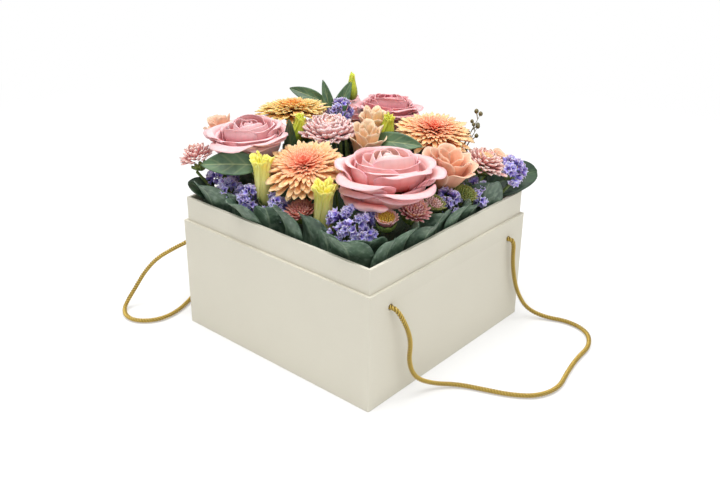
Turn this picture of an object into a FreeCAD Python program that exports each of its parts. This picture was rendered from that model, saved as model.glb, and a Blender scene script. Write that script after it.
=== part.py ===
"""Flower box: a square paper-covered board box with two cord handles and cut flowers standing in foam.

The frame has +Z up and its origin in the middle of the underside, with the front wall at -Y and the
cord handles on the left and right walls. Lengths are millimetres.
"""

import FreeCAD, Part

import math
import os
from dataclasses import dataclass, field
from functools import lru_cache
from itertools import combinations

import Sketcher

Vec = FreeCAD.Vector
ORIGIN = Vec(0, 0, 0)
X_AXIS = Vec(1, 0, 0)
Z_AXIS = Vec(0, 0, 1)

SIZES = {
    # box
    "box_width": "200",
    "box_depth": "200",
    "wall_height": "95",
    "rim_height": "115",
    "board": "2",
    "paper": "0.4",
    "corner_radius": "1",
    "neck_gap": "0.1",
    # cord handles
    "hole_spacing": "154",
    "hole_height": "79",
    "hole_diameter": "5",
    "cord_diameter": "4",
    "cord_standoff": "5",
    "cord_gap": "0.3",
    "knot_diameter": "10",
    # insert
    "liner_side_gap": "1.7",
    "liner_end_gap": "6",
    "liner_sheet": "0.6",
    "liner_height": "56",
    "foam_gap": "0.3",
    # stems
    "stem_diameter": "3.4",
    "thin_stem_diameter": "2.4",
    "stem_depth": "30",
    "stem_focus_depth": "30",
    "stem_seat_gap": "0.2",
    "stem_hole_gap": "0.15",
    # flower heads
    "rose_front_diameter": "76",
    "rose_left_diameter": "68",
    "rose_back_diameter": "62",
    "rose_rear_diameter": "60",
    "rose_height": "44",
    "rose_petal": "1.6",
    "gerbera_diameter": "62",
    "gerbera_height": "22",
    "gerbera_petal": "1.6",
    "mum_centre_diameter": "46",
    "mum_diameter": "36",
    "mum_small_diameter": "24",
    "mum_height": "24",
    "mum_petal": "2.4",
    "button_diameter": "18",
    "button_height": "15",
    "button_petal": "2.4",
    "lisianthus_diameter": "36",
    "lisianthus_slim": "21",
    "lisianthus_height": "30",
    "lisianthus_petal": "1.2",
    "bud_diameter": "14",
    "bud_height": "36",
    "bud_small_diameter": "9",
    "bud_small_height": "22",
    "statice_front_diameter": "32",
    "statice_diameter": "23",
    "statice_small_diameter": "17",
    "statice_height": "23",
    "head_gap": "0.6",
    # leaves and twigs
    "leaf_length": "30",
    "leaf_width": "26",
    "leaf_sheet": "0.8",
    "leaf_bend": "40",
    "leaf_pitch": "20.5",
    "leaf_layer": "3",
    "leaf_stalk": "34",
    "leaf_foot_gap": "1.4",
    "slender_length": "46",
    "slender_width": "12",
    "slender_bend": "120",
    "broad_length": "30",
    "broad_width": "24",
    "broad_bend": "90",
    "berry_diameter": "4",
}

doc = FreeCAD.newDocument("flower_box")
sheet = doc.addObject("Spreadsheet::Sheet", "sizes")
for row, (alias, value) in enumerate(SIZES.items(), start=1):
    sheet.set(f"A{row}", alias)
    sheet.set(f"B{row}", value)
    sheet.setAlias(f"B{row}", alias)
doc.recompute()


def size(name):
    """One driving dimension, read from the sheet."""
    return float(sheet.get(name))


# The plan of the flowers was drawn for a box with this half width inside its neck.
PLAN_HALF_WIDTH = 95.1
# How much of the shorter straight run each bend of a cord takes up.
BEND_SHARE = 0.45
GOLDEN_ANGLE = 137.5
# The leaves along the rim stand on the foam, with their feet this far below the rim.
LEAF_FOOT_BELOW_RIM = 16

half_width = size("box_width") / 2
half_depth = size("box_depth") / 2
neck_outer_x = half_width - size("paper") - size("board") - size("neck_gap")
neck_outer_y = half_depth - size("paper") - size("board") - size("neck_gap")
neck_inner_x = neck_outer_x - size("paper") - size("board")
neck_inner_y = neck_outer_y - size("paper") - size("board")
knot_reach = size("cord_gap") + size("knot_diameter") + size("cord_diameter") / 2
liner_half_x = neck_inner_x - knot_reach - size("liner_side_gap")
liner_half_y = neck_inner_y - size("liner_end_gap")
foam_bottom = size("board") + size("liner_sheet")
foam_top = size("rim_height") - LEAF_FOOT_BELOW_RIM - size("leaf_foot_gap")
nodes = []


def on_plan(x, y):
    """A place on the plan of the flowers, carried over to this box's opening."""
    return Vec(x * neck_inner_x / PLAN_HALF_WIDTH, y * neck_inner_y / PLAN_HALF_WIDTH, 0)


def keep(obj):
    """Count an object among the sub-parts that are written out."""
    nodes.append(obj)
    return obj


def feature(label, shape):
    """A sub-part whose shape is built by Part's own functions."""
    obj = doc.addObject("Part::Feature", label)
    obj.Label = label
    obj.Shape = shape
    return keep(obj)


def new_body(label):
    """An empty body that becomes one sub-part."""
    body = doc.addObject("PartDesign::Body", label)
    body.Label = label
    return keep(body)


def add_sketch(body, name, role):
    """A sketch on one of the body's own origin planes."""
    sketch = body.newObject("Sketcher::SketchObject", name)
    plane = next(item for item in body.Origin.OriginFeatures if item.Role == role)
    sketch.AttachmentSupport = [(plane, "")]
    sketch.MapMode = "FlatFace"
    return sketch


def bind(sketch, constraint, expression):
    """Add a dimension to a sketch and tie it to the sheet."""
    index = sketch.addConstraint(constraint)
    sketch.setExpression(f"Constraints[{index}]", expression)


def centred_rectangle(sketch, width, height):
    """A rectangle about the sketch's origin whose two sizes are expressions."""
    corners = [Vec(-1, -1, 0), Vec(1, -1, 0), Vec(1, 1, 0), Vec(-1, 1, 0)]
    for start, end in zip(corners, corners[1:] + corners[:1]):
        sketch.addGeometry(Part.LineSegment(start, end))
    for line in range(4):
        sketch.addConstraint(Sketcher.Constraint("Coincident", line, 2, (line + 1) % 4, 1))
    for line in (0, 2):
        sketch.addConstraint(Sketcher.Constraint("Horizontal", line))
    for line in (1, 3):
        sketch.addConstraint(Sketcher.Constraint("Vertical", line))
    sketch.addConstraint(Sketcher.Constraint("Symmetric", 0, 1, 2, 1, -1, 1))
    bind(sketch, Sketcher.Constraint("DistanceX", 0, 1, 0, 2, 2), width)
    bind(sketch, Sketcher.Constraint("DistanceY", 1, 1, 1, 2, 2), height)


def pad(body, sketch, length):
    """Pad a sketch upwards by an expression."""
    made = body.newObject("PartDesign::Pad", f"{body.Label}_pad")
    made.Profile = sketch
    made.setExpression("Length", length)
    sketch.Visibility = False
    return made


def cord_holes(body, first_z):
    """Cut the two cord holes through a body along X; first_z is the height of the body's own zero."""
    sketch = add_sketch(body, f"{body.Label}_holes", "YZ_Plane")
    for side in (-1, 1):
        sketch.addGeometry(Part.Circle(Vec(side, 1, 0), Z_AXIS, 0.5))
    sketch.addConstraint(Sketcher.Constraint("Symmetric", 0, 3, 1, 3, -2))
    sketch.addConstraint(Sketcher.Constraint("Equal", 0, 1))
    bind(sketch, Sketcher.Constraint("DistanceX", 0, 3, 1, 3, 2), "sizes.hole_spacing")
    bind(sketch, Sketcher.Constraint("DistanceY", -1, 1, 0, 3, 1), f"sizes.hole_height - ({first_z})")
    bind(sketch, Sketcher.Constraint("Diameter", 0, 1), "sizes.hole_diameter")
    pocket = body.newObject("PartDesign::Pocket", f"{body.Label}_pocket")
    pocket.Profile = sketch
    pocket.Type = "ThroughAll"
    pocket.Midplane = True
    sketch.Visibility = False


def place(obj, **offsets):
    """Tie an object's position to the sheet; each offset is an expression for x, y or z."""
    for axis, expression in offsets.items():
        obj.setExpression(f".Placement.Base.{axis}", expression)


def board_panel(label, across, along, tall, x, y, z, holes_from=None):
    """One board of the box: a padded rectangle, with the cord holes where it has them."""
    body = new_body(label)
    sketch = add_sketch(body, f"{label}_outline", "XY_Plane")
    centred_rectangle(sketch, across, along)
    pad(body, sketch, tall)
    if holes_from is not None:
        cord_holes(body, holes_from)
    place(body, x=x, y=y, z=z)


def paper_sleeve(label, width, depth, tall, z):
    """A square sleeve of covering paper with softened outer corners and the cord holes."""
    body = new_body(label)
    outline = add_sketch(body, f"{label}_outline", "XY_Plane")
    centred_rectangle(outline, width, depth)
    block = pad(body, outline, tall)
    doc.recompute()
    upright = [
        f"Edge{number}"
        for number, edge in enumerate(block.Shape.Edges, start=1)
        if abs(edge.tangentAt(edge.FirstParameter).z) > 0.99
    ]
    rounded = body.newObject("PartDesign::Fillet", f"{label}_corners")
    rounded.Base = (block, upright)
    rounded.setExpression("Radius", "sizes.corner_radius")
    inside = add_sketch(body, f"{label}_inside", "XY_Plane")
    centred_rectangle(inside, f"{width} - 2 * sizes.paper", f"{depth} - 2 * sizes.paper")
    hollow = body.newObject("PartDesign::Pocket", f"{label}_hollow")
    hollow.Profile = inside
    hollow.Type = "ThroughAll"
    hollow.Midplane = True
    inside.Visibility = False
    cord_holes(body, z)
    place(body, z=z)


def build_box():
    """Base, four walls, four neck boards and the two paper covers."""
    wall_x = "(sizes.box_width / 2 - sizes.paper - sizes.board / 2)"
    wall_y = "(sizes.box_depth / 2 - sizes.paper - sizes.board / 2)"
    inside_width = "(sizes.box_width - 2 * sizes.paper - 2 * sizes.board)"
    inside_depth = "(sizes.box_depth - 2 * sizes.paper - 2 * sizes.board)"
    full_width = "sizes.box_width - 2 * sizes.paper"
    board_panel("base_panel", inside_width, inside_depth, "sizes.board", "0", "0", "0")
    for label, side in (("wall_front", "-"), ("wall_back", "")):
        board_panel(label, full_width, "sizes.board", "sizes.wall_height", "0", side + wall_y, "0")
    for label, side in (("wall_left", "-"), ("wall_right", "")):
        board_panel(label, "sizes.board", inside_depth, "sizes.wall_height", side + wall_x, "0", "0", "0")
    inset = "(2 * sizes.paper + sizes.board + sizes.neck_gap)"
    neck_x = f"(sizes.box_width / 2 - {inset} - sizes.board / 2)"
    neck_y = f"(sizes.box_depth / 2 - {inset} - sizes.board / 2)"
    neck_width = f"sizes.box_width - 2 * {inset}"
    neck_depth = f"sizes.box_depth - 2 * {inset} - 2 * sizes.board"
    neck_tall = "sizes.rim_height - sizes.board"
    for label, side in (("neck_front", "-"), ("neck_back", "")):
        board_panel(label, neck_width, "sizes.board", neck_tall, "0", side + neck_y, "sizes.board")
    foot = "sizes.board"
    for label, side in (("neck_left", "-"), ("neck_right", "")):
        board_panel(label, "sizes.board", neck_depth, neck_tall, side + neck_x, "0", foot, foot)
    paper_sleeve("wrap_paper", "sizes.box_width", "sizes.box_depth", "sizes.wall_height", "0")
    lining = "2 * (sizes.paper + sizes.board + sizes.neck_gap)"
    sleeve_width = f"(sizes.box_width - {lining})"
    sleeve_depth = f"(sizes.box_depth - {lining})"
    paper_sleeve("neck_paper", sleeve_width, sleeve_depth, neck_tall, "sizes.board")


def tube(points, diameter):
    """A round cord along straight runs joined by tangent arcs."""
    edges = []
    radii = []
    start = points[0]
    for before, corner, after in zip(points, points[1:], points[2:]):
        back = (before - corner).normalize()
        onward = (after - corner).normalize()
        half_turn = (math.pi - back.getAngle(onward)) / 2
        trim = BEND_SHARE * min((before - corner).Length, (after - corner).Length)
        radius = trim / math.tan(half_turn)
        radii.append(radius)
        centre_way = (back + onward).normalize()
        middle = corner + centre_way * (math.hypot(radius, trim) - radius)
        enter = corner + back * trim
        leave = corner + onward * trim
        edges.append(Part.LineSegment(start, enter).toShape())
        edges.append(Part.Arc(enter, middle, leave).toShape())
        start = leave
    edges.append(Part.LineSegment(start, points[-1]).toShape())
    path = Part.Wire(edges)
    ring = Part.Wire(Part.Circle(points[0], points[1] - points[0], diameter / 2).toShape())
    swept = path.makePipeShell([ring], True, False)
    ideal = math.pi * diameter**2 / 4 * path.Length
    fill = swept.Volume / ideal
    print(f"cord length {path.Length:.1f} mm, least radius {min(radii):.1f} mm, {fill:.4f} of ideal volume")
    return swept


def handle_cord(label, side, route):
    """One handle: the free cord from hole to hole, with a round end at each so that it can swing."""
    radius = size("cord_diameter") / 2
    exit_x = side * (half_width + size("cord_standoff"))
    exit_y = size("hole_spacing") / 2
    first = Vec(exit_x, -exit_y, size("hole_height"))
    last = Vec(exit_x, exit_y, size("hole_height"))
    free = [Vec(side * (half_width + out), along, radius + clear) for out, along, clear in route]
    points = [first, *free, last]
    cord = tube(points, size("cord_diameter"))
    caps = [
        Part.makeSphere(radius, first, first - points[1], 0, 90, 360),
        Part.makeSphere(radius, last, last - points[-2], 0, 90, 360),
    ]
    feature(label, cord.multiFuse(caps).removeSplitter())


def cord_knots(label, side):
    """The two fixed cord ends of one handle: a knot inside the neck and the stub that passes the wall."""
    radius = size("cord_diameter") / 2
    knot = size("knot_diameter") / 2
    outer_end = half_width + size("cord_standoff") - radius - size("cord_gap")
    knot_x = neck_inner_x - size("cord_gap") - knot
    solids = []
    for way in (-1, 1):
        seat = Vec(side * knot_x, way * size("hole_spacing") / 2, size("hole_height"))
        tail = Vec(-side * (knot + radius), 0, 0)
        stub = Part.makeCylinder(radius, outer_end - knot_x, seat, X_AXIS * side)
        end = Part.makeCylinder(radius, tail.Length, seat, tail)
        solids.append(Part.makeSphere(knot, seat).multiFuse([stub, end]).removeSplitter())
    feature(label, Part.makeCompound(solids))


# Free route of each handle cord between its two holes, chosen by hand: down the wall, then on the floor.
# Each point is its distance out from the wall, its place along the wall and the cord's height over the floor.
RIGHT_ROUTE = [
    (10.5, -71, 62), (11.5, -66.5, 47), (10.5, -67.5, 31), (12, -61, 14), (17, -44, 2.5), (30, -29, 0.3),
    (50, -21, 0.3), (68, -14, 0.3), (84, -2, 0.3), (90.5, 18, 0.3), (84.5, 41, 0.3), (80, 65, 0.3),
    (79, 88, 0.3), (67, 108, 0.3), (46, 113, 0.3), (26, 105, 0.3), (12.5, 97, 7), (7, 89, 23),
    (5.5, 82, 42), (5, 78.5, 60),
]
LEFT_ROUTE = [
    (15, -83, 64), (28, -92, 55), (42, -100, 44), (52, -107, 30), (58, -113, 16), (60, -121, 5.5),
    (56, -129, 0.6), (46, -135, 0.3), (34, -135, 0.3), (24, -128, 0.3), (18, -117, 0.3), (18, -102, 0.3),
    (24, -85, 0.3), (34, -66, 0.3), (41, -44, 0.3), (42, -20, 0.3), (39, 4, 0.3), (32, 28, 0.3),
    (22, 50, 0.3), (12, 67, 6), (6.5, 75, 23), (5.5, 77.5, 42), (5, 78, 60),
]


def build_handles():
    """Both handles and the knots that hold them."""
    handle_cord("handle_cord_right", 1, RIGHT_ROUTE)
    handle_cord("handle_cord_left", -1, LEFT_ROUTE)
    cord_knots("cord_knots_right", 1)
    cord_knots("cord_knots_left", -1)


def turned(points):
    """A solid of revolution: an arc through each three points in a row, closed along the axis."""
    path = [Vec(radius, 0, z) for radius, z in points]
    edges = [Part.Arc(*path[at : at + 3]).toShape() for at in range(0, len(path) - 2, 2)]
    bottom = Vec(0, 0, path[0].z)
    top = Vec(0, 0, path[-1].z)
    for start, end in ((path[-1], top), (top, bottom), (bottom, path[0])):
        if (end - start).Length > 1e-6:
            edges.append(Part.LineSegment(start, end).toShape())
    return Part.Face(Part.Wire(edges)).revolve(ORIGIN, Z_AXIS, 360)


def petal_shell(foot, belly, lip, thickness, span):
    """A cupped petal: the strip between two arcs, turned about Z through span degrees about +X."""
    outer = [Vec(radius, 0, z) for radius, z in (foot, belly, lip)]
    inner = [
        outer[0] + Vec(0, 0, thickness),
        outer[1] + Vec(-thickness, 0, thickness),
        outer[2] + Vec(-thickness, 0, 0),
    ]
    edges = [
        Part.Arc(*outer).toShape(),
        Part.LineSegment(outer[2], inner[2]).toShape(),
        Part.Arc(*reversed(inner)).toShape(),
        Part.LineSegment(inner[0], outer[0]).toShape(),
    ]
    petal = Part.Face(Part.Wire(edges)).revolve(ORIGIN, Z_AXIS, span)
    petal.rotate(ORIGIN, Z_AXIS, -span / 2)
    return petal


def ring_of(shape, count, first_angle):
    """Copies of a shape evenly round Z."""
    copies = []
    for number in range(count):
        copy = shape.copy()
        copy.rotate(ORIGIN, Z_AXIS, first_angle + number * 360 / count)
        copies.append(copy)
    return copies


def rose_shape(diameter, height):
    """An open rose: a turned heart with two whorls of three cupped petals round it."""
    heart = turned([
        (0.05 * diameter, 0),
        (0.19 * diameter, 0.17 * height), (0.27 * diameter, 0.5 * height),
        (0.26 * diameter, 0.8 * height), (0.17 * diameter, 0.94 * height),
        (0.13 * diameter, 0.88 * height), (0.09 * diameter, 0.96 * height),
        (0.05 * diameter, 0.91 * height), (0.02 * diameter, height),
    ])
    thickness = size("rose_petal")
    foot = 0.08 * diameter
    inner = petal_shell(
        (foot, 0.1 * height),
        (0.33 * diameter, 0.3 * height),
        (0.34 * diameter, 0.85 * height),
        thickness,
        108,
    )
    outer = petal_shell(
        (foot, 0.06 * height),
        (0.4 * diameter, 0.24 * height),
        (0.5 * diameter, 0.6 * height),
        thickness,
        112,
    )
    return heart.multiFuse(ring_of(inner, 3, 0) + ring_of(outer, 3, 60))


def petal_disc(valley_radius, outer_radius, petals, thickness, z):
    """A flat ring of strap petals in one sheet: straight sides, round tips and a valley between each two."""

    def spot(radius, angle):
        return Vec(radius * math.cos(angle), radius * math.sin(angle), z)

    pitch = 2 * math.pi / petals
    shoulder_radius = outer_radius - 0.35 * pitch * outer_radius
    edges = []
    for number in range(petals):
        middle = number * pitch
        valley = spot(valley_radius, middle - pitch / 2)
        shoulders = [spot(shoulder_radius, middle + side * 0.42 * pitch) for side in (-1, 1)]
        next_valley = spot(valley_radius, middle + pitch / 2)
        edges.append(Part.LineSegment(valley, shoulders[0]).toShape())
        edges.append(Part.Arc(shoulders[0], spot(outer_radius, middle), shoulders[1]).toShape())
        edges.append(Part.LineSegment(shoulders[1], next_valley).toShape())
    return Part.Face(Part.Wire(edges)).extrude(Z_AXIS * thickness)


def petal_tiers(core, tiers, thickness, petals):
    """Tiers of petals fused round a core; each tier is its valley radius, outer radius and height."""
    discs = []
    for number, (valley_radius, outer_radius, z) in enumerate(tiers):
        disc = petal_disc(valley_radius, outer_radius, petals, thickness, z)
        disc.rotate(ORIGIN, Z_AXIS, number * 180 / petals)
        discs.append(disc)
    return core.multiFuse(discs)


def gerbera_shape(diameter, height):
    """A double gerbera: a domed eye on a green cup, with two tiers of ray petals."""
    core = turned([
        (0.06 * diameter, 0),
        (0.13 * diameter, 0.16 * height), (0.19 * diameter, 0.4 * height),
        (0.27 * diameter, 0.6 * height), (0.25 * diameter, 0.8 * height),
        (0.14 * diameter, 0.96 * height), (0.02 * diameter, height),
    ])
    tiers = [
        (0.3 * diameter, 0.5 * diameter, 0.42 * height),
        (0.29 * diameter, 0.42 * diameter, 0.62 * height),
    ]
    return petal_tiers(core, tiers, size("gerbera_petal"), 20)


def mum_shape(diameter, height):
    """A chrysanthemum: three tiers of short petals stepping up to a dome."""
    core = turned([
        (0.06 * diameter, 0),
        (0.22 * diameter, 0.12 * height), (0.34 * diameter, 0.4 * height),
        (0.34 * diameter, 0.7 * height), (0.02 * diameter, height),
    ])
    tiers = [
        (0.42 * diameter, 0.5 * diameter, 0.36 * height),
        (0.38 * diameter, 0.46 * diameter, 0.52 * height),
        (0.32 * diameter, 0.39 * diameter, 0.68 * height),
    ]
    return petal_tiers(core, tiers, size("mum_petal"), 16)


def button_shape(diameter, height):
    """A small button chrysanthemum: one tier of petals round a raised eye."""
    core = turned([
        (0.1 * diameter, 0),
        (0.3 * diameter, 0.2 * height), (0.32 * diameter, 0.5 * height),
        (0.3 * diameter, 0.8 * height), (0.03 * diameter, height),
    ])
    return petal_tiers(core, [(0.38 * diameter, 0.5 * diameter, 0.45 * height)], size("button_petal"), 12)


def lisianthus_shape(diameter, height):
    """A lisianthus: a turned bud in a cup of three flaring petals."""
    heart = turned([
        (0.07 * diameter, 0),
        (0.15 * diameter, 0.12 * height), (0.2 * diameter, 0.4 * height),
        (0.24 * diameter, 0.72 * height), (0.06 * diameter, 0.97 * height),
    ])
    petal = petal_shell(
        (0.1 * diameter, 0.08 * height),
        (0.36 * diameter, 0.3 * height),
        (0.46 * diameter, 0.72 * height),
        size("lisianthus_petal"),
        104,
    )
    return heart.multiFuse(ring_of(petal, 3, 0))


def bud_shape(diameter, height):
    """A rolled bud: a slim cup that widens to a soft frilled tip."""
    return turned([
        (0.16 * diameter, 0),
        (0.36 * diameter, 0.12 * height), (0.4 * diameter, 0.4 * height),
        (0.48 * diameter, 0.75 * height), (0.3 * diameter, 0.95 * height),
        (0.2 * diameter, 0.99 * height), (0.04 * diameter, 0.96 * height),
    ])


# Statice funnels: how many stand in each whorl, and its angle from the sprig's axis.
STATICE_WHORLS = ((1, 0), (6, 40), (9, 78))


def statice_shape(diameter, height):
    """A statice sprig: a dome of small papery funnels round a short stalk."""
    core = turned([
        (0.07 * diameter, 0),
        (0.22 * diameter, 0.25 * height), (0.3 * diameter, 0.5 * height),
        (0.25 * diameter, 0.75 * height), (0.02 * diameter, 0.86 * height),
    ])
    middle = Vec(0, 0, height / 2)
    funnels = []
    for count, tilt in STATICE_WHORLS:
        way = Vec(math.sin(math.radians(tilt)), 0, math.cos(math.radians(tilt)))
        reach = 0.46 * math.hypot(diameter * way.x, height * way.z)
        foot = middle + way * (0.45 * reach)
        funnel = Part.makeCone(0.04 * diameter, 0.14 * diameter, 0.55 * reach, foot, way)
        funnels += ring_of(funnel, count, 2 * tilt)
    return core.multiFuse(funnels)


SHAPES = {
    "rose": rose_shape,
    "gerbera": gerbera_shape,
    "mum": mum_shape,
    "button": button_shape,
    "lisianthus": lisianthus_shape,
    "bud": bud_shape,
    "statice": statice_shape,
}
THICK_STEMS = ("rose", "gerbera")


@lru_cache(maxsize=None)
def head_shape(kind, diameter, height):
    """A head at the origin, made once for each size."""
    return SHAPES[kind](diameter, height)


@dataclass
class Head:
    """One flower head: its node, its kind, its sizes and where its middle stands."""

    node: str
    kind: str
    diameter: str
    height: str
    x: float
    y: float
    rise: float
    lean: float
    toward: float
    radius: float = field(init=False)
    half_height: float = field(init=False)
    z: float = field(init=False)

    def __post_init__(self):
        """Read the sizes from the sheet and carry the plan over to this box's opening."""
        self.radius = size(self.diameter) / 2
        self.half_height = size(self.height) / 2
        self.x, self.y, _ = on_plan(self.x, self.y)
        self.z = size("rim_height") + self.rise

    @property
    def axis(self):
        """Unit vector from the stem to the face of the flower."""
        lean = math.radians(self.lean)
        toward = math.radians(self.toward)
        return Vec(math.sin(lean) * math.cos(toward), math.sin(lean) * math.sin(toward), math.cos(lean))

    @property
    def foot(self):
        """Where the head meets its stem."""
        return Vec(self.x, self.y, self.z) - self.axis * self.half_height

    @property
    def stem_radius(self):
        """Roses and gerberas have the thicker stems."""
        return size("stem_diameter" if self.kind in THICK_STEMS else "thin_stem_diameter") / 2

    def solid(self):
        """The head in its place."""
        shape = head_shape(self.kind, 2 * self.radius, 2 * self.half_height).copy()
        shape.Placement = FreeCAD.Placement(self.foot, FreeCAD.Rotation(Z_AXIS, self.axis))
        return shape

    def stem_line(self):
        """The stem's top centre and its lower end in the foam."""
        top = self.foot - self.axis * (self.stem_radius + size("stem_seat_gap"))
        return top, stem_end(top)


def stem_end(top):
    """The lower end in the foam of a stem with this upper end: stems splay from one point under the box."""
    way = (Vec(0, 0, -size("stem_focus_depth")) - top).normalize()
    entry = top + way * ((foam_top - top.z) / way.z)
    return entry + way * size("stem_depth")


def stem_solid(top, end, radius):
    """A straight stem with a round top."""
    way = end - top
    shaft = Part.makeCylinder(radius, way.Length, top, way)
    cap = Part.makeSphere(radius, top, top - end, 0, 90, 360)
    return shaft.fuse(cap).removeSplitter()


HEADS = [
    Head("rose_front", "rose", "rose_front_diameter", "rose_height", 54, -28, 39, 14, -50),
    Head("rose_left", "rose", "rose_left_diameter", "rose_height", -70, -58, 48, 14, 215),
    Head("rose_back", "rose", "rose_back_diameter", "rose_height", -26, 66, 55, 6, 100),
    Head("rose_rear", "rose", "rose_rear_diameter", "rose_height", -81, 79, 30, 16, 135),
    Head("gerbera_front", "gerbera", "gerbera_diameter", "gerbera_height", -11, -57, 36, 20, -70),
    Head("gerbera_right", "gerbera", "gerbera_diameter", "gerbera_height", 37, 52, 48, 7, -20),
    Head("gerbera_top", "gerbera", "gerbera_diameter", "gerbera_height", -75, 3, 57, 9, 150),
    Head("gerbera_rear", "gerbera", "gerbera_diameter", "gerbera_height", 8, 90, 25, 14, 90),
    Head("mum_centre", "mum", "mum_centre_diameter", "mum_height", -25, -5, 49, 6, -60),
    Head("mum_right", "mum", "mum_diameter", "mum_height", 82, 63, 31, 18, 20),
    Head("mum_left", "mum", "mum_small_diameter", "mum_height", -97, -89, 32, 20, 215),
    Head("mum_rear", "mum", "mum_diameter", "mum_height", -93, 31, 26, 24, 175),
    Head("button_mums", "button", "button_diameter", "button_height", 69, -54, 12, 24, -45),
    Head("button_mums", "button", "button_diameter", "button_height", 83, -25, 13, 26, -15),
    Head("button_mums", "button", "button_diameter", "button_height", 6, -71, 8, 20, -80),
    Head("button_mums", "button", "button_diameter", "button_height", 80, -5, 13, 22, 0),
    Head("button_mums", "button", "button_diameter", "button_height", 84, 31, 11, 22, 0),
    Head("lisianthus_centre", "lisianthus", "lisianthus_slim", "lisianthus_height", 4, 11, 42, 8, -40),
    Head("lisianthus_right", "lisianthus", "lisianthus_diameter", "lisianthus_height", 70, 25, 32, 16, 0),
    Head("lisianthus_left", "lisianthus", "lisianthus_slim", "lisianthus_height", -99, -42, 37, 18, 190),
    Head("lisianthus_top", "lisianthus", "lisianthus_slim", "lisianthus_height", -9, 32, 48, 5, 40),
    Head("lisianthus_rear", "lisianthus", "lisianthus_diameter", "lisianthus_height", 71, 95, 27, 20, 60),
    Head("lisianthus_buds", "bud", "bud_diameter", "bud_height", -43, -66, 18, 4, 250),
    Head("lisianthus_buds", "bud", "bud_diameter", "bud_height", 27, -69, 17, 6, -70),
    Head("lisianthus_buds", "bud", "bud_small_diameter", "bud_small_height", 9, 27, 53, 4, 0),
    Head("lisianthus_buds", "bud", "bud_small_diameter", "bud_small_height", -52, -24, 44, 5, 200),
    Head("lisianthus_buds", "bud", "bud_small_diameter", "bud_small_height", -58, 50, 66, 4, 120),
    Head("statice_front", "statice", "statice_front_diameter", "statice_height", 50, -71, 12, 22, -60),
    Head("statice_left", "statice", "statice_diameter", "statice_height", -80, -73, 16, 14, 225),
    Head("statice_left", "statice", "statice_small_diameter", "statice_height", -62, -83, 12, 12, 250),
    Head("statice_left", "statice", "statice_small_diameter", "statice_height", -40, -83, 10, 10, 270),
    Head("statice_middle", "statice", "statice_small_diameter", "statice_height", -14, -78, 8, 12, 270),
    Head("statice_right", "statice", "statice_diameter", "statice_height", 97, 84, 21, 20, 40),
    Head("statice_right", "statice", "statice_small_diameter", "statice_height", 81, 13, 11, 16, 0),
    Head("statice_right", "statice", "statice_small_diameter", "statice_height", 83, 48, 10, 16, 0),
    Head("statice_top", "statice", "statice_small_diameter", "statice_height", -44, 26, 54, 4, 120),
    Head("statice_rear", "statice", "statice_diameter", "statice_height", -38, 92, 15, 16, 100),
]
SETTLE_PASSES = 200


def settle(heads):
    """Push neighbouring heads apart in plan until the ellipsoids that hold them stand clear."""
    for _ in range(SETTLE_PASSES):
        crowded = False
        for one, other in combinations(heads, 2):
            level = (one.z - other.z) / (one.half_height + other.half_height)
            if abs(level) >= 1:
                continue
            needed = (one.radius + other.radius + size("head_gap")) * math.sqrt(1 - level**2)
            between = Vec(one.x - other.x, one.y - other.y, 0)
            short = needed - between.Length
            if short <= 1e-3:
                continue
            crowded = True
            share = other.radius**2 / (one.radius**2 + other.radius**2)
            push = between.normalize() * short
            one.x += push.x * share
            one.y += push.y * share
            other.x -= push.x * (1 - share)
            other.y -= push.y * (1 - share)
        if not crowded:
            return


STEM_NODES = {
    "rose_stems": ("rose",),
    "gerbera_stems": ("gerbera",),
    "mum_stems": ("mum", "button"),
    "lisianthus_stems": ("lisianthus", "bud"),
    "statice_stems": ("statice",),
}


def build_flowers():
    """Every flower head and its stem; returns the stems' lines, which the foam is pierced for."""
    settle(HEADS)
    for label in dict.fromkeys(head.node for head in HEADS):
        solids = [head.solid() for head in HEADS if head.node == label]
        feature(label, solids[0] if len(solids) == 1 else Part.makeCompound(solids))
    lines = []
    for label, kinds in STEM_NODES.items():
        stems = [(*head.stem_line(), head.stem_radius) for head in HEADS if head.kind in kinds]
        feature(label, Part.makeCompound([stem_solid(*stem) for stem in stems]))
        lines += stems
    return lines


@lru_cache(maxsize=None)
def leaf_blade(length, width, bend):
    """A leaf blade with its foot at the origin, rising along +Z and curling towards -Y at radius bend."""
    thickness = size("leaf_sheet")
    reach = bend * math.sin(length / bend)
    widest = 0.55 * reach
    outline = [
        Part.Arc(ORIGIN, Vec(width / 2, 0, widest), Vec(0, 0, reach)).toShape(),
        Part.Arc(Vec(0, 0, reach), Vec(-width / 2, 0, widest), ORIGIN).toShape(),
    ]
    prism = Part.Face(Part.Wire(outline)).extrude(Vec(0, -bend, 0))
    prism.translate(Vec(0, thickness, 0))
    centre = Vec(-width, -bend, 0)
    curl = Part.makeCylinder(bend + thickness / 2, 2 * width, centre, X_AXIS)
    hollow = Part.makeCylinder(bend - thickness / 2, 2 * width, centre, X_AXIS)
    return prism.common(curl.cut(hollow))


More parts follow.
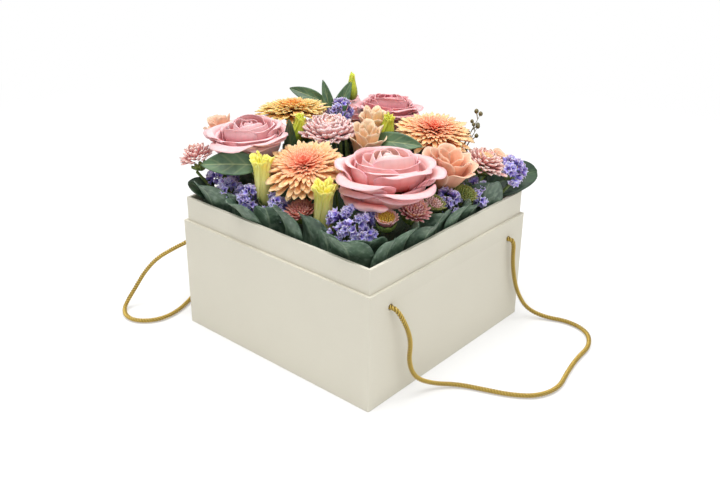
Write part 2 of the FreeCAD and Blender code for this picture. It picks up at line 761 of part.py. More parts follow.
@dataclass
class Leaf:
    """One leaf: its node, blade sizes, foot, stalk's lower end, heading of its curl and lean that way."""

    node: str
    length: float
    width: float
    bend: float
    foot: FreeCAD.Vector
    end: FreeCAD.Vector
    heading: float
    lean: float

    def solid(self):
        """Blade and stalk in one piece."""
        turn = FreeCAD.Rotation(Z_AXIS, self.heading + 90).multiply(FreeCAD.Rotation(X_AXIS, self.lean))
        blade = leaf_blade(self.length, self.width, self.bend).copy()
        blade.Placement = FreeCAD.Placement(self.foot, turn)
        way = self.end - self.foot
        stalk = Part.makeCylinder(self.stalk_radius, way.Length, self.foot, way)
        rib = Part.makeCylinder(self.stalk_radius, RIB_LENGTH, self.foot, turn.multVec(Z_AXIS))
        joint = Part.makeSphere(JOINT_SWELL * self.stalk_radius, self.foot)
        return blade.multiFuse([stalk, rib, joint])

    @property
    def stalk_radius(self):
        """Leaf stalks are two thirds as thick as the thin stems."""
        return size("thin_stem_diameter") / 3

    def line(self):
        """The stalk's line, which the foam is pierced for."""
        return self.foot, self.end, self.stalk_radius


# Each side of the box: its node, its heading and the leaf places along it, counted from its middle.
LEAF_SIDES = [
    ("eucalyptus_front", -90, range(-4, 4)),
    ("eucalyptus_right", 0, range(-4, 3)),
    ("eucalyptus_back", 90, range(-3, 4)),
    ("eucalyptus_left", 180, (-4, -3, -2, -1, 0, 2)),
]
# The stalk runs a little way up the blade as its rib and swells where the two meet.
RIB_LENGTH = 3
JOINT_SWELL = 1.4
LEAF_SET_IN = 4
CORNER_LEAF_SET_IN = 20
# Slender leaves: foot in plan, its height over the rim, heading and lean.
SLENDER_PLACES = [
    (-52, -62, 23, 240, 80),
    (-45, -34, 16, 45, 6),
    (9, 19, 33, -5, 80),
    (-76, 42, 34, 165, 35),
    (-66, 36, 26, 90, 6),
    (-53, 39, 26, 240, 5),
]
# Broad leaves: foot in plan, its height over the rim, heading and lean.
BROAD_PLACES = [(74, 86, 3, 55, 72), (-90, -86, 3, 222, 72)]


def rim_leaf(node, heading, spot):
    """A leaf that stands just inside the rim, with its stalk pushed into the foam's shoulder."""
    foot = spot + Vec(0, 0, size("rim_height") - LEAF_FOOT_BELOW_RIM)
    way = (Vec(-spot.x, -spot.y, 0).normalize() - Z_AXIS).normalize()
    end = foot + way * size("leaf_stalk")
    return Leaf(node, size("leaf_length"), size("leaf_width"), size("leaf_bend"), foot, end, heading, 0)


def loose_leaves(node, places, sort):
    """Leaves of one sort that stand among the flowers."""
    length, width, bend = (size(f"{sort}_{name}") for name in ("length", "width", "bend"))
    leaves = []
    for x, y, rise, heading, lean in places:
        foot = on_plan(x, y) + Vec(0, 0, size("rim_height") + rise)
        leaves.append(Leaf(node, length, width, bend, foot, stem_end(foot), heading, lean))
    return leaves


def all_leaves():
    """The leaf rows inside the rim, then the slender and the broad leaves."""
    leaves = []
    for node, heading, numbers in LEAF_SIDES:
        inner = neck_inner_x if heading in (0, 180) else neck_inner_y
        for number in numbers:
            layer = LEAF_SET_IN + (number % 2) * size("leaf_layer")
            along = (number + 0.5) * size("leaf_pitch")
            spot = FreeCAD.Rotation(Z_AXIS, heading).multVec(Vec(inner - layer, along, 0))
            leaves.append(rim_leaf(node, heading, spot))
    corner = Vec(neck_inner_x - CORNER_LEAF_SET_IN, CORNER_LEAF_SET_IN - neck_inner_y, 0)
    leaves.append(rim_leaf("eucalyptus_front", -45, corner))
    leaves += loose_leaves("slender_leaves", SLENDER_PLACES, "slender")
    leaves += loose_leaves("broad_leaves", BROAD_PLACES, "broad")
    return leaves


def build_leaves():
    """Every leaf; returns their stalks' lines."""
    leaves = all_leaves()
    for label in dict.fromkeys(leaf.node for leaf in leaves):
        feature(label, Part.makeCompound([leaf.solid() for leaf in leaves if leaf.node == label]))
    return [leaf.line() for leaf in leaves]


# Berry twigs: tip in plan and its height over the rim.
TWIG_TIPS = {"berry_twig_inner": (51, 98, 56), "berry_twig_outer": (58, 84, 50)}
BERRIES_PER_TWIG = 9
TWIG_LENGTH_WITH_BERRIES = 34


def build_twigs():
    """Two twigs with round berries up their tops; returns their lines."""
    radius = size("thin_stem_diameter") / 3
    berry = size("berry_diameter") / 2
    lines = []
    for label, (x, y, rise) in TWIG_TIPS.items():
        tip = on_plan(x, y) + Vec(0, 0, size("rim_height") + rise)
        end = stem_end(tip)
        down = (end - tip).normalize()
        berries = [Part.makeSphere(berry, tip)]
        for number in range(1, BERRIES_PER_TWIG):
            angle = math.radians(GOLDEN_ANGLE * number)
            spread = Vec(math.cos(angle), math.sin(angle), 0) * (berry + 0.6 * radius)
            spot = tip + down * (TWIG_LENGTH_WITH_BERRIES * number / BERRIES_PER_TWIG)
            berries.append(Part.makeSphere(berry, spot + spread))
        feature(label, stem_solid(tip, end, radius).multiFuse(berries))
        lines.append((tip, end, radius))
    return lines


def build_insert(lines):
    """The waterproof liner and the foam in it, pierced where each stem stands."""
    body = new_body("liner_tray")
    outline = add_sketch(body, "liner_outline", "XY_Plane")
    neck = "2 * (2 * sizes.paper + 2 * sizes.board + sizes.neck_gap)"
    knots = "2 * (sizes.cord_gap + sizes.knot_diameter + sizes.cord_diameter / 2)"
    width = f"(sizes.box_width - {neck} - {knots} - 2 * sizes.liner_side_gap)"
    depth = f"(sizes.box_depth - {neck} - 2 * sizes.liner_end_gap)"
    centred_rectangle(outline, width, depth)
    pad(body, outline, "sizes.liner_height")
    inside = add_sketch(body, "liner_inside", "XY_Plane")
    inside.setExpression(".AttachmentOffset.Base.z", "sizes.liner_sheet")
    centred_rectangle(inside, f"{width} - 2 * sizes.liner_sheet", f"{depth} - 2 * sizes.liner_sheet")
    hollow = body.newObject("PartDesign::Pocket", "liner_hollow")
    hollow.Profile = inside
    hollow.Type = "ThroughAll"
    hollow.Reversed = True
    inside.Visibility = False
    place(body, z="sizes.board")

    inset = size("liner_sheet") + size("foam_gap")
    corner = Vec(inset - liner_half_x, inset - liner_half_y, foam_bottom)
    block = Part.makeBox(-2 * corner.x, -2 * corner.y, foam_top - foam_bottom, corner)
    gap = size("stem_hole_gap")
    holes = []
    for top, end, radius in lines:
        way = (end - top).normalize()
        holes.append(Part.makeCylinder(radius + gap, (end - top).Length + gap, top, way))
    feature("foam_block", block.cut(holes))


def check_and_write():
    """Stop on any failed object or bad shape, then write one STEP file per sub-part."""
    doc.recompute()
    for obj in doc.Objects:
        if "Invalid" in obj.State or "Error" in obj.State:
            raise RuntimeError(f"{obj.Label} failed: {obj.State}")
    for obj in nodes:
        if obj.Shape.isNull() or not obj.Shape.isValid():
            raise RuntimeError(f"{obj.Label} has no valid shape")
    os.makedirs("parts", exist_ok=True)
    for obj in nodes:
        obj.Shape.exportStep(f"parts/{obj.Label}.step")
    print(f"{len(nodes)} sub-parts written")


build_box()
build_handles()
stem_lines = build_flowers() + build_leaves() + build_twigs()
build_insert(stem_lines)
check_and_write()
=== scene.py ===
"""Flower box: the looks of a paper-covered box with rope handles and cut flowers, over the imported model.

The frame has +Z up and its origin in the middle of the box's underside. Lengths in the code are
metres unless a name or comment says millimetres.
"""

import logging
import math
from collections.abc import Iterator, Sequence
from dataclasses import dataclass, field
from enum import Enum

import bpy
import numpy as np
from mathutils import Matrix, Vector


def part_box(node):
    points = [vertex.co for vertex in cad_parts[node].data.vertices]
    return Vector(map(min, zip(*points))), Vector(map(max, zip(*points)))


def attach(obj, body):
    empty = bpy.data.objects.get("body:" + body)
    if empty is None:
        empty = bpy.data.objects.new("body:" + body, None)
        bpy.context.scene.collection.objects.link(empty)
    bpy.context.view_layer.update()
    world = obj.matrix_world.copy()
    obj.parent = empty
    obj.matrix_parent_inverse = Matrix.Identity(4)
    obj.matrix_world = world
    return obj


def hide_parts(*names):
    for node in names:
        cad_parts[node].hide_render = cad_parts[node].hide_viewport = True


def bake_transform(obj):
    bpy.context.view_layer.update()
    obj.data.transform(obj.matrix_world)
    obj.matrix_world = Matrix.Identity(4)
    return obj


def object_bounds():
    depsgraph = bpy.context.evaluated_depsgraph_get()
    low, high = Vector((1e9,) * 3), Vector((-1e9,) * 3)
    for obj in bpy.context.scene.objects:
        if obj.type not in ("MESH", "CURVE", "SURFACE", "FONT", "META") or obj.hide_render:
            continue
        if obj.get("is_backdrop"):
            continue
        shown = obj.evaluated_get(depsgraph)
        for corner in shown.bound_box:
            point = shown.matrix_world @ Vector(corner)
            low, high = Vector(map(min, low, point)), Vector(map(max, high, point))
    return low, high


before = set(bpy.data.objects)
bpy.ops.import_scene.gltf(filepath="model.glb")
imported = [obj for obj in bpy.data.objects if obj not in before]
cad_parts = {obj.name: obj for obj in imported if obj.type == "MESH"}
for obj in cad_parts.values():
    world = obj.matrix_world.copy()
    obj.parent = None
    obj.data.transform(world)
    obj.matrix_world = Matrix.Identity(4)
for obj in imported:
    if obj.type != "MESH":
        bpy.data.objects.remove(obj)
CAD_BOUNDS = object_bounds()
LOG = logging.getLogger("flower_box")

Array = np.ndarray
Colour = tuple[int, int, int]
MM = 0.001
GOLDEN_ANGLE = math.radians(137.508)
# Thickness of each kind of sheet, how near two points count as one, the range of a random phase, and the
# point in millimetres at which the stems aim.
PETAL_SHEET = 0.35 * MM
LEAF_SHEET = 0.6 * MM
FUNNEL_SHEET = 0.2 * MM
STALK_SHEET = 0.1 * MM
STRAND_SHEET = 0.05 * MM
WELD = 0.01 * MM
ANY_PHASE = 6.28
STEMS_MEET = Vector((0, 0, -30))


def linear(colour: Colour) -> tuple[float, float, float, float]:
    """A colour of 0 to 255 as the screen shows it, in the linear light that shaders use.

    Args:
        colour: red, green and blue.

    Returns:
        Linear red, green and blue, with full alpha.
    """
    parts = [value / 255 for value in colour]
    return (*(p / 12.92 if p <= 0.04045 else ((p + 0.055) / 1.055) ** 2.4 for p in parts), 1.0)


class Socket:
    """An output of a shader node, which adds Math nodes when it is used in an expression."""

    def __init__(self, graph: "Graph", socket: bpy.types.NodeSocket) -> None:
        """Keep the graph and the socket."""
        self.graph = graph
        self.socket = socket

    def maths(self, operation: str, *values: "Socket | float") -> "Socket":
        """A Math node on these values."""
        return self.graph.node("ShaderNodeMath", {"operation": operation}, dict(enumerate(values)))

    def __add__(self, other: "Socket | float") -> "Socket":
        """Sum."""
        return self.maths("ADD", self, other)

    __radd__ = __add__

    def __mul__(self, other: "Socket | float") -> "Socket":
        """Product."""
        return self.maths("MULTIPLY", self, other)

    __rmul__ = __mul__

    def __sub__(self, other: "Socket | float") -> "Socket":
        """Difference."""
        return self.maths("SUBTRACT", self, other)

    def __rsub__(self, other: "Socket | float") -> "Socket":
        """Difference from a number."""
        return self.maths("SUBTRACT", other, self)

    def __pow__(self, power: float) -> "Socket":
        """Power."""
        return self.maths("POWER", self, power)

    def __abs__(self) -> "Socket":
        """Size without sign."""
        return self.maths("ABSOLUTE", self)

    def sine(self) -> "Socket":
        """Sine of an angle in radians."""
        return self.maths("SINE", self)

    def rise(self, low: float, high: float) -> "Socket":
        """Smooth step from 0 at low to 1 at high."""
        inputs = {"Value": self, "From Min": low, "From Max": high}
        return self.graph.node("ShaderNodeMapRange", {"interpolation_type": "SMOOTHSTEP"}, inputs)


class Graph:
    """The nodes of one material or world."""

    def __init__(self, holder: bpy.types.Material | bpy.types.World) -> None:
        """Start with no nodes.

        Args:
            holder: the material or world that they belong to.
        """
        holder.use_nodes = True
        self.holder = holder
        self.tree = holder.node_tree
        self.tree.nodes.clear()

    @classmethod
    def material(cls, name: str) -> "Graph":
        """The nodes of a new material."""
        return cls(bpy.data.materials.new(name))

    def node(
        self,
        kind: str,
        settings: dict[str, object] | None = None,
        inputs: dict[str | int, object] | None = None,
        output: str | int = 0,
    ) -> "Socket | None":
        """Add a node.

        Args:
            kind: the node's type.
            settings: properties set before the sockets; "stops" are a ramp's places and colours.
            inputs: a value or a Socket for each named or numbered input.
            output: the output to give back.

        Returns:
            That output, or None for a node that has no outputs.
        """
        made = self.tree.nodes.new(kind)
        for key, value in (settings or {}).items():
            if key == "stops":
                self.set_stops(made.color_ramp, value)
            else:
                setattr(made, key, value)
        for key, value in (inputs or {}).items():
            if isinstance(value, Socket):
                self.tree.links.new(value.socket, made.inputs[key])
            else:
                made.inputs[key].default_value = value
        return Socket(self, made.outputs[output]) if len(made.outputs) else None

    @staticmethod
    def set_stops(ramp: bpy.types.ColorRamp, stops: Sequence[tuple[float, Colour]]) -> None:
        """Give a ramp its colours.

        Args:
            ramp: the ramp, which has two elements when new.
            stops: places from 0 to 1 with their colours.
        """
        while len(ramp.elements) < len(stops):
            ramp.elements.new(0.5)
        for element, (place, colour) in zip(ramp.elements, stops):
            element.position = place
            element.color = linear(colour)

    def attribute(self, name: str) -> Socket:
        """A value stored on the mesh."""
        return self.node("ShaderNodeAttribute", {"attribute_name": name}, output="Fac")

    def place(self) -> Socket:
        """The point on the object, in its own space."""
        return self.node("ShaderNodeTexCoord", output="Object")

    def noise(
        self, scale: float, detail: float = 3.0, stretch: tuple[float, float, float] = (1, 1, 1)
    ) -> Socket:
        """Noise in object space, from 0 to 1, with this many lumps to a metre."""
        spot = self.node("ShaderNodeMapping", inputs={"Vector": self.place(), "Scale": stretch})
        return self.node("ShaderNodeTexNoise", inputs={"Vector": spot, "Scale": scale, "Detail": detail})

    def ramp(self, value: Socket, stops: Sequence[tuple[float, Colour]]) -> Socket:
        """A colour from a value."""
        return self.node("ShaderNodeValToRGB", {"stops": stops}, {"Fac": value})

    def mix(self, share: Socket, one: Socket | Colour, other: Socket | Colour) -> Socket:
        """Two colours mixed.

        Args:
            share: how much of the other colour shows, from 0 to 1.
            one: the first colour.
            other: the other colour.

        Returns:
            The mixed colour.
        """
        colours = [linear(c) if isinstance(c, tuple) else c for c in (one, other)]
        settings = {"data_type": "RGBA", "blend_type": "MIX", "clamp_factor": True}
        return self.node("ShaderNodeMix", settings, {0: share, 6: colours[0], 7: colours[1]}, 2)

    def value(self, colour: Socket, amount: Socket) -> Socket:
        """A colour made lighter or darker."""
        return self.node("ShaderNodeHueSaturation", inputs={"Color": colour, "Value": amount})

    def bump(self, height: Socket, depth: float, strength: float = 1.0) -> Socket:
        """A normal from a height of 0 to 1 that stands for this depth."""
        return self.node("ShaderNodeBump", inputs={"Height": height, "Distance": depth, "Strength": strength})

    def finish(self, **inputs: object) -> bpy.types.Material:
        """Close the material with one Principled shader.

        Args:
            **inputs: values or Sockets for its inputs, which are named with _ for a space.

        Returns:
            The material.
        """
        named = {key.replace("_", " "): value for key, value in inputs.items()}
        shader = self.node("ShaderNodeBsdfPrincipled", inputs=named)
        self.node("ShaderNodeOutputMaterial", inputs={"Surface": shader})
        return self.holder


class Finish:
    """A finish that makes its material once."""

    made: dict["Finish", bpy.types.Material] = {}

    def material(self) -> bpy.types.Material:
        """The material, made on first use.

        Returns:
            The same material each time.
        """
        if self not in Finish.made:
            Finish.made[self] = self.build()
        return Finish.made[self]

    def build(self) -> bpy.types.Material:
        """Make the material."""
        raise NotImplementedError


@dataclass(frozen=True)
class PetalFinish(Finish):
    """Petals: a blend from foot to lip, other colours in the heart of the flower, veins and a soft sheen."""

    name: str
    foot: Colour
    middle: Colour
    lip: Colour
    heart: Colour
    edge: Colour
    heart_reach: float = 0.6
    edge_share: float = 0.35
    vein_count: float = 26.0
    vein: float = 0.03
    spread: float = 0.16
    roughness: float = 0.55

    def build(self) -> bpy.types.Material:
        """Make the material.

        Returns:
            The material with its nodes.
        """
        graph = Graph.material(self.name)
        along = graph.attribute("along")
        across = graph.attribute("across")
        row = graph.attribute("row")
        shade = graph.attribute("shade")
        drift = graph.noise(180.0)
        stops = [(0.2, self.foot), (0.6, self.middle), (0.97, self.lip)]
        colour = graph.ramp(along + (drift - 0.5) * 0.25, stops)
        inner = 1 - row.rise(0.0, self.heart_reach)
        colour = graph.mix(inner, colour, self.heart)
        rim = abs(across).rise(0.55, 1.0) * along.rise(0.2, 0.7) + along.rise(0.86, 1.0)
        colour = graph.mix(rim * self.edge_share, colour, self.edge)
        veins = ((across * self.vein_count + drift * 5.0).sine() * 0.5 + 0.5) ** 3.0
        colour = graph.value(colour, shade * self.spread + (1 - self.spread / 2) - veins * self.vein)
        fine = graph.noise(1400.0, 2.0)
        normal = graph.bump(veins * 0.5 + fine * 0.5, 0.12 * MM, 0.5)
        return graph.finish(
            Base_Color=colour,
            Roughness=self.roughness,
            Normal=normal,
            Subsurface_Weight=0.25,
            Subsurface_Radius=(0.9, 0.45, 0.35),
            Subsurface_Scale=1.5 * MM,
            Sheen_Weight=0.15,
            Specular_IOR_Level=0.3,
        )


@dataclass(frozen=True)
class LeafFinish(Finish):
    """Leaves: a midrib, side veins and a waxy bloom."""

    name: str
    blade: Colour
    dark: Colour
    rib: Colour
    bloom: Colour
    bloom_share: float
    side_veins: float
    roughness: float = 0.45

    def build(self) -> bpy.types.Material:
        """Make the material.

        Returns:
            The material with its nodes.
        """
        graph = Graph.material(self.name)
        along = graph.attribute("along")
        across = abs(graph.attribute("across"))
        shade = graph.attribute("shade")
        patch = graph.noise(90.0, 4.0)
        colour = graph.mix(patch.rise(0.3, 0.7), self.dark, self.blade)
        colour = graph.mix(graph.noise(260.0, 5.0).rise(0.45, 0.75) * self.bloom_share, colour, self.bloom)
        rib = 1 - across.rise(0.02, 0.08)
        side = ((along * self.side_veins - across * 7.0).sine() * 0.5 + 0.5) ** 8.0
        side = side * (1 - across.rise(0.7, 1.0))
        colour = graph.mix(rib * 0.7 + side * 0.22, colour, self.rib)
        colour = graph.value(colour, shade * 0.3 + 0.85)
        normal = graph.bump(rib * -0.6 - side * 0.35 + graph.noise(900.0) * 0.3, 0.2 * MM, 0.7)
        return graph.finish(
            Base_Color=colour,
            Roughness=patch * 0.2 + self.roughness - 0.1,
            Normal=normal,
            Subsurface_Weight=0.08,
            Subsurface_Radius=(0.3, 0.6, 0.2),
            Subsurface_Scale=1.0 * MM,
        )


@dataclass(frozen=True)
class TwoToneFinish(Finish):
    """A finish with a light and a dark tone."""

    name: str
    light: Colour
    dark: Colour


@dataclass(frozen=True)
class StalkFinish(TwoToneFinish):
    """Stems, twigs and berries: green or brown with fine lengthwise streaks."""

    roughness: float = 0.5

    def build(self) -> bpy.types.Material:
        """Make the material.

        Returns:
            The material with its nodes.
        """
        graph = Graph.material(self.name)
        streak = graph.noise(900.0, 4.0, (1, 1, 0.12))
        blotch = graph.noise(160.0, 3.0)
        colour = graph.mix((streak * 0.6 + blotch * 0.5).rise(0.35, 0.75), self.dark, self.light)
        normal = graph.bump(streak, 0.25 * MM, 0.6)
        return graph.finish(Base_Color=colour, Roughness=blotch * 0.2 + self.roughness - 0.1, Normal=normal)


@dataclass(frozen=True)
class PaperFinish(Finish):
    """Covering paper: cream with faint fibres, a little mottle and a painted highlight along its edges."""

    name: str
    sheet: Colour
    shadow: Colour
    # Colour of the painted highlight along the convex edges.
    edge_highlight: Colour

    def build(self) -> bpy.types.Material:
        """Make the material.

        Returns:
            The material with its nodes.
        """
        graph = Graph.material(self.name)
        fibre = graph.noise(1500.0, 5.0, (1, 1, 0.45))
        cloud = graph.noise(22.0, 3.0)
        colour = graph.mix((fibre * 0.5 + cloud * 0.5).rise(0.3, 0.7), self.shadow, self.sheet)
        # Painted highlight: convex edges, found by the mesh's pointiness, are mixed towards a lighter colour.
        edge = graph.node("ShaderNodeNewGeometry", output="Pointiness").rise(0.53, 0.6)
        colour = graph.mix(edge * 0.6, colour, self.edge_highlight)
        normal = graph.bump(fibre * 0.6 + graph.noise(420.0, 4.0) * 0.4, 0.06 * MM, 0.7)
        return graph.finish(
            Base_Color=colour,
            Roughness=cloud * 0.12 + 0.62,
            Normal=normal,
            Specular_IOR_Level=0.35,
        )


@dataclass(frozen=True)
class BoardFinish(TwoToneFinish):
    """Grey board seen at its cut edges."""

    def build(self) -> bpy.types.Material:
        """Make the material.

        Returns:
            The material with its nodes.
        """
        graph = Graph.material(self.name)
        plies = graph.noise(700.0, 4.0, (1, 1, 4))
        flecks = graph.noise(2600.0, 2.0).rise(0.6, 0.75)
        colour = graph.mix(plies.rise(0.35, 0.7), self.dark, self.light)
        colour = graph.mix(flecks * 0.3, colour, self.dark)
        normal = graph.bump(plies, 0.1 * MM, 0.6)
        return graph.finish(Base_Color=colour, Roughness=plies * 0.1 + 0.8, Normal=normal)


@dataclass(frozen=True)
class FoamFinish(TwoToneFinish):
    """Wet floral foam: dark green with open pores."""

    def build(self) -> bpy.types.Material:
        """Make the material.

        Returns:
            The material with its nodes.
        """
        graph = Graph.material(self.name)
        cell = graph.node("ShaderNodeTexVoronoi", inputs={"Vector": graph.place(), "Scale": 900.0})
        damp = graph.noise(40.0, 4.0)
        colour = graph.mix((cell * 0.9 + damp * 0.5).rise(0.3, 0.9), self.dark, self.light)
        normal = graph.bump(cell, 0.5 * MM, 0.8)
        return graph.finish(Base_Color=colour, Roughness=damp * 0.3 + 0.6, Normal=normal)


@dataclass(frozen=True)
class FilmFinish(TwoToneFinish):
    """Thin plastic of the liner, cloudy and faintly wrinkled."""

    def build(self) -> bpy.types.Material:
        """Make the material.

        Returns:
            The material with its nodes.
        """
        graph = Graph.material(self.name)
        wrinkle = graph.noise(60.0, 4.0, (1, 1, 0.4))
        colour = graph.mix(wrinkle.rise(0.3, 0.7), self.dark, self.light)
        normal = graph.bump(wrinkle, 0.6 * MM, 0.5)
        return graph.finish(Base_Color=colour, Roughness=wrinkle * 0.2 + 0.22, Normal=normal)


@dataclass(frozen=True)
class RopeFinish(TwoToneFinish):
    """Gold rope: metallic threads that run along each strand, with painted glints and painted shade in the
    lay.
    """

    def build(self) -> bpy.types.Material:
        """Make the material.

        Returns:
            The material with its nodes.
        """
        graph = Graph.material(self.name)
        along = graph.attribute("along")
        across = graph.attribute("across")
        thread = ((across * 34.0 + along * 5.0).sine() * 0.5 + 0.5) ** 0.7
        # Painted glints: fine noise that, with the threads, mixes the colour towards the light tone; it also
        # varies the roughness.
        glint = graph.noise(2600.0, 3.0)
        # Painted shade: the sides of each strand that face the lay between strands are mixed towards the dark
        # tone.
        lay = abs(across).rise(0.2, 0.5)
        colour = graph.mix((thread * 0.55 + glint * 0.6).rise(0.2, 0.95), self.dark, self.light)
        colour = graph.mix(lay * 0.75, colour, self.dark)
        return graph.finish(
            Base_Color=colour,
            Metallic=0.55,
            Roughness=glint * 0.25 + 0.28,
            Normal=graph.bump(thread * 0.7 + glint * 0.3, 0.12 * MM, 0.8),
        )


class Paint:
    """The finishes of this box and its flowers."""

    # The paper's third colour is its painted edge highlight.
    PAPER = PaperFinish("cream_paper", (204, 199, 182), (195, 189, 172), (228, 224, 209))
    BOARD = BoardFinish("box_board", (206, 199, 183), (176, 168, 150))
    FOAM = FoamFinish("wet_foam", (48, 74, 44), (20, 36, 22))
    FILM = FilmFinish("liner_film", (214, 218, 214), (188, 196, 192))
    ROPE = RopeFinish("gold_rope", (234, 204, 108), (126, 98, 30))
    STEM = StalkFinish("green_stem", (122, 142, 72), (72, 92, 44))
    CALYX = StalkFinish("calyx_green", (132, 150, 66), (74, 100, 46))
    TWIG = StalkFinish("berry_twig", (120, 104, 62), (72, 62, 36))
    BERRY = StalkFinish("brown_berry", (128, 112, 60), (70, 66, 38), 0.35)
    EUCALYPTUS = LeafFinish(
        "eucalyptus_leaf", (92, 116, 95), (58, 82, 66), (130, 148, 124), (146, 166, 148), 0.6, 22.0
    )
    SLENDER = LeafFinish(
        "slender_leaf", (78, 108, 72), (50, 80, 54), (148, 160, 110), (104, 130, 100), 0.25, 30.0
    )
    BROAD = LeafFinish("broad_leaf", (42, 70, 44), (22, 46, 30), (80, 104, 66), (66, 92, 64), 0.2, 18.0)
    PALE_ROSE = PetalFinish(
        "pale_rose", (240, 104, 88), (248, 172, 168), (253, 212, 212), (253, 226, 212), (250, 172, 186), 0.5
    )
    DUSTY_ROSE = PetalFinish(
        "dusty_rose", (214, 104, 112), (238, 168, 174), (249, 212, 212), (244, 186, 188), (232, 166, 174), 0.3
    )
    DEEP_ROSE = PetalFinish(
        "deep_rose", (200, 64, 104), (224, 138, 148), (242, 190, 192), (210, 100, 122), (228, 148, 156), 0.4
    )
    GERBERA = PetalFinish(
        "peach_gerbera", (253, 152, 86), (255, 180, 110), (255, 210, 158), (255, 130, 102), (255, 226, 184),
        0.85, 0.35, 14.0, 0.04,
    )
    GOLD_GERBERA = PetalFinish(
        "gold_gerbera", (255, 178, 78), (255, 206, 114), (255, 226, 152), (255, 178, 96), (255, 234, 176),
        0.6, 0.3, 14.0, 0.04,
    )
    MAUVE_MUM = PetalFinish(
        "mauve_mum", (208, 132, 132), (234, 178, 176), (247, 212, 210), (246, 190, 156), (250, 226, 224),
        0.5, 0.5,
    )
    PINK_MUM = PetalFinish(
        "pink_mum", (206, 122, 122), (228, 166, 162), (244, 204, 196), (232, 162, 116), (248, 222, 214),
        0.4, 0.5,
    )
    ROSY_MUM = PetalFinish(
        "rosy_mum", (206, 92, 110), (236, 144, 152), (248, 196, 192), (244, 176, 120), (251, 214, 208),
        0.4, 0.5,
    )
    GREEN_MUM = PetalFinish(
        "green_mum", (72, 98, 42), (112, 136, 58), (150, 162, 82), (126, 134, 62), (172, 172, 104),
        0.3, 0.3,
    )
    CORAL_MUM = PetalFinish(
        "coral_mum", (198, 84, 80), (222, 120, 112), (236, 160, 150), (226, 150, 120), (240, 180, 170),
        0.4, 0.4,
    )
    EYE = PetalFinish(
        "mum_eye", (206, 136, 30), (238, 186, 56), (246, 206, 84), (216, 156, 60), (250, 220, 110),
        0.3, 0.3,
    )
    ORANGE_EYE = PetalFinish(
        "orange_eye", (214, 136, 84), (238, 176, 124), (244, 198, 150), (232, 166, 112), (248, 212, 168),
        0.3, 0.3,
    )
    LISIANTHUS = PetalFinish(
        "peach_lisianthus",
        (226, 168, 104), (238, 168, 134), (247, 196, 168), (238, 176, 128), (250, 212, 188),
        0.4, 0.4, 18.0, 0.03,
    )
    CREAM_LISIANTHUS = PetalFinish(
        "cream_lisianthus",
        (216, 166, 84), (240, 192, 138), (248, 214, 178), (230, 176, 108), (250, 226, 200),
        0.4, 0.4, 18.0, 0.03,
    )
    BUD = PetalFinish(
        "lime_bud", (206, 208, 112), (252, 242, 150), (255, 242, 96), (240, 228, 110), (255, 250, 170),
        0.2, 0.4, 12.0, 0.1,
    )
    GREEN_BUD = PetalFinish(
        "green_bud", (134, 156, 50), (188, 202, 54), (222, 226, 70), (180, 196, 56), (230, 234, 110),
        0.2, 0.4, 12.0, 0.1,
    )
    STATICE = PetalFinish(
        "violet_statice", (118, 102, 198), (158, 144, 224), (188, 176, 236), (146, 130, 216), (232, 226, 249),
        0.2, 0.6, 16.0, 0.12, 0.45,
    )


@dataclass
class Sheet:
    """One thin curved sheet, such as a petal: a grid of points with the values its finish reads."""

    points: Array
    finish: Finish
    thickness: float = PETAL_SHEET
    row: float = 1.0
    shade: float = 0.5


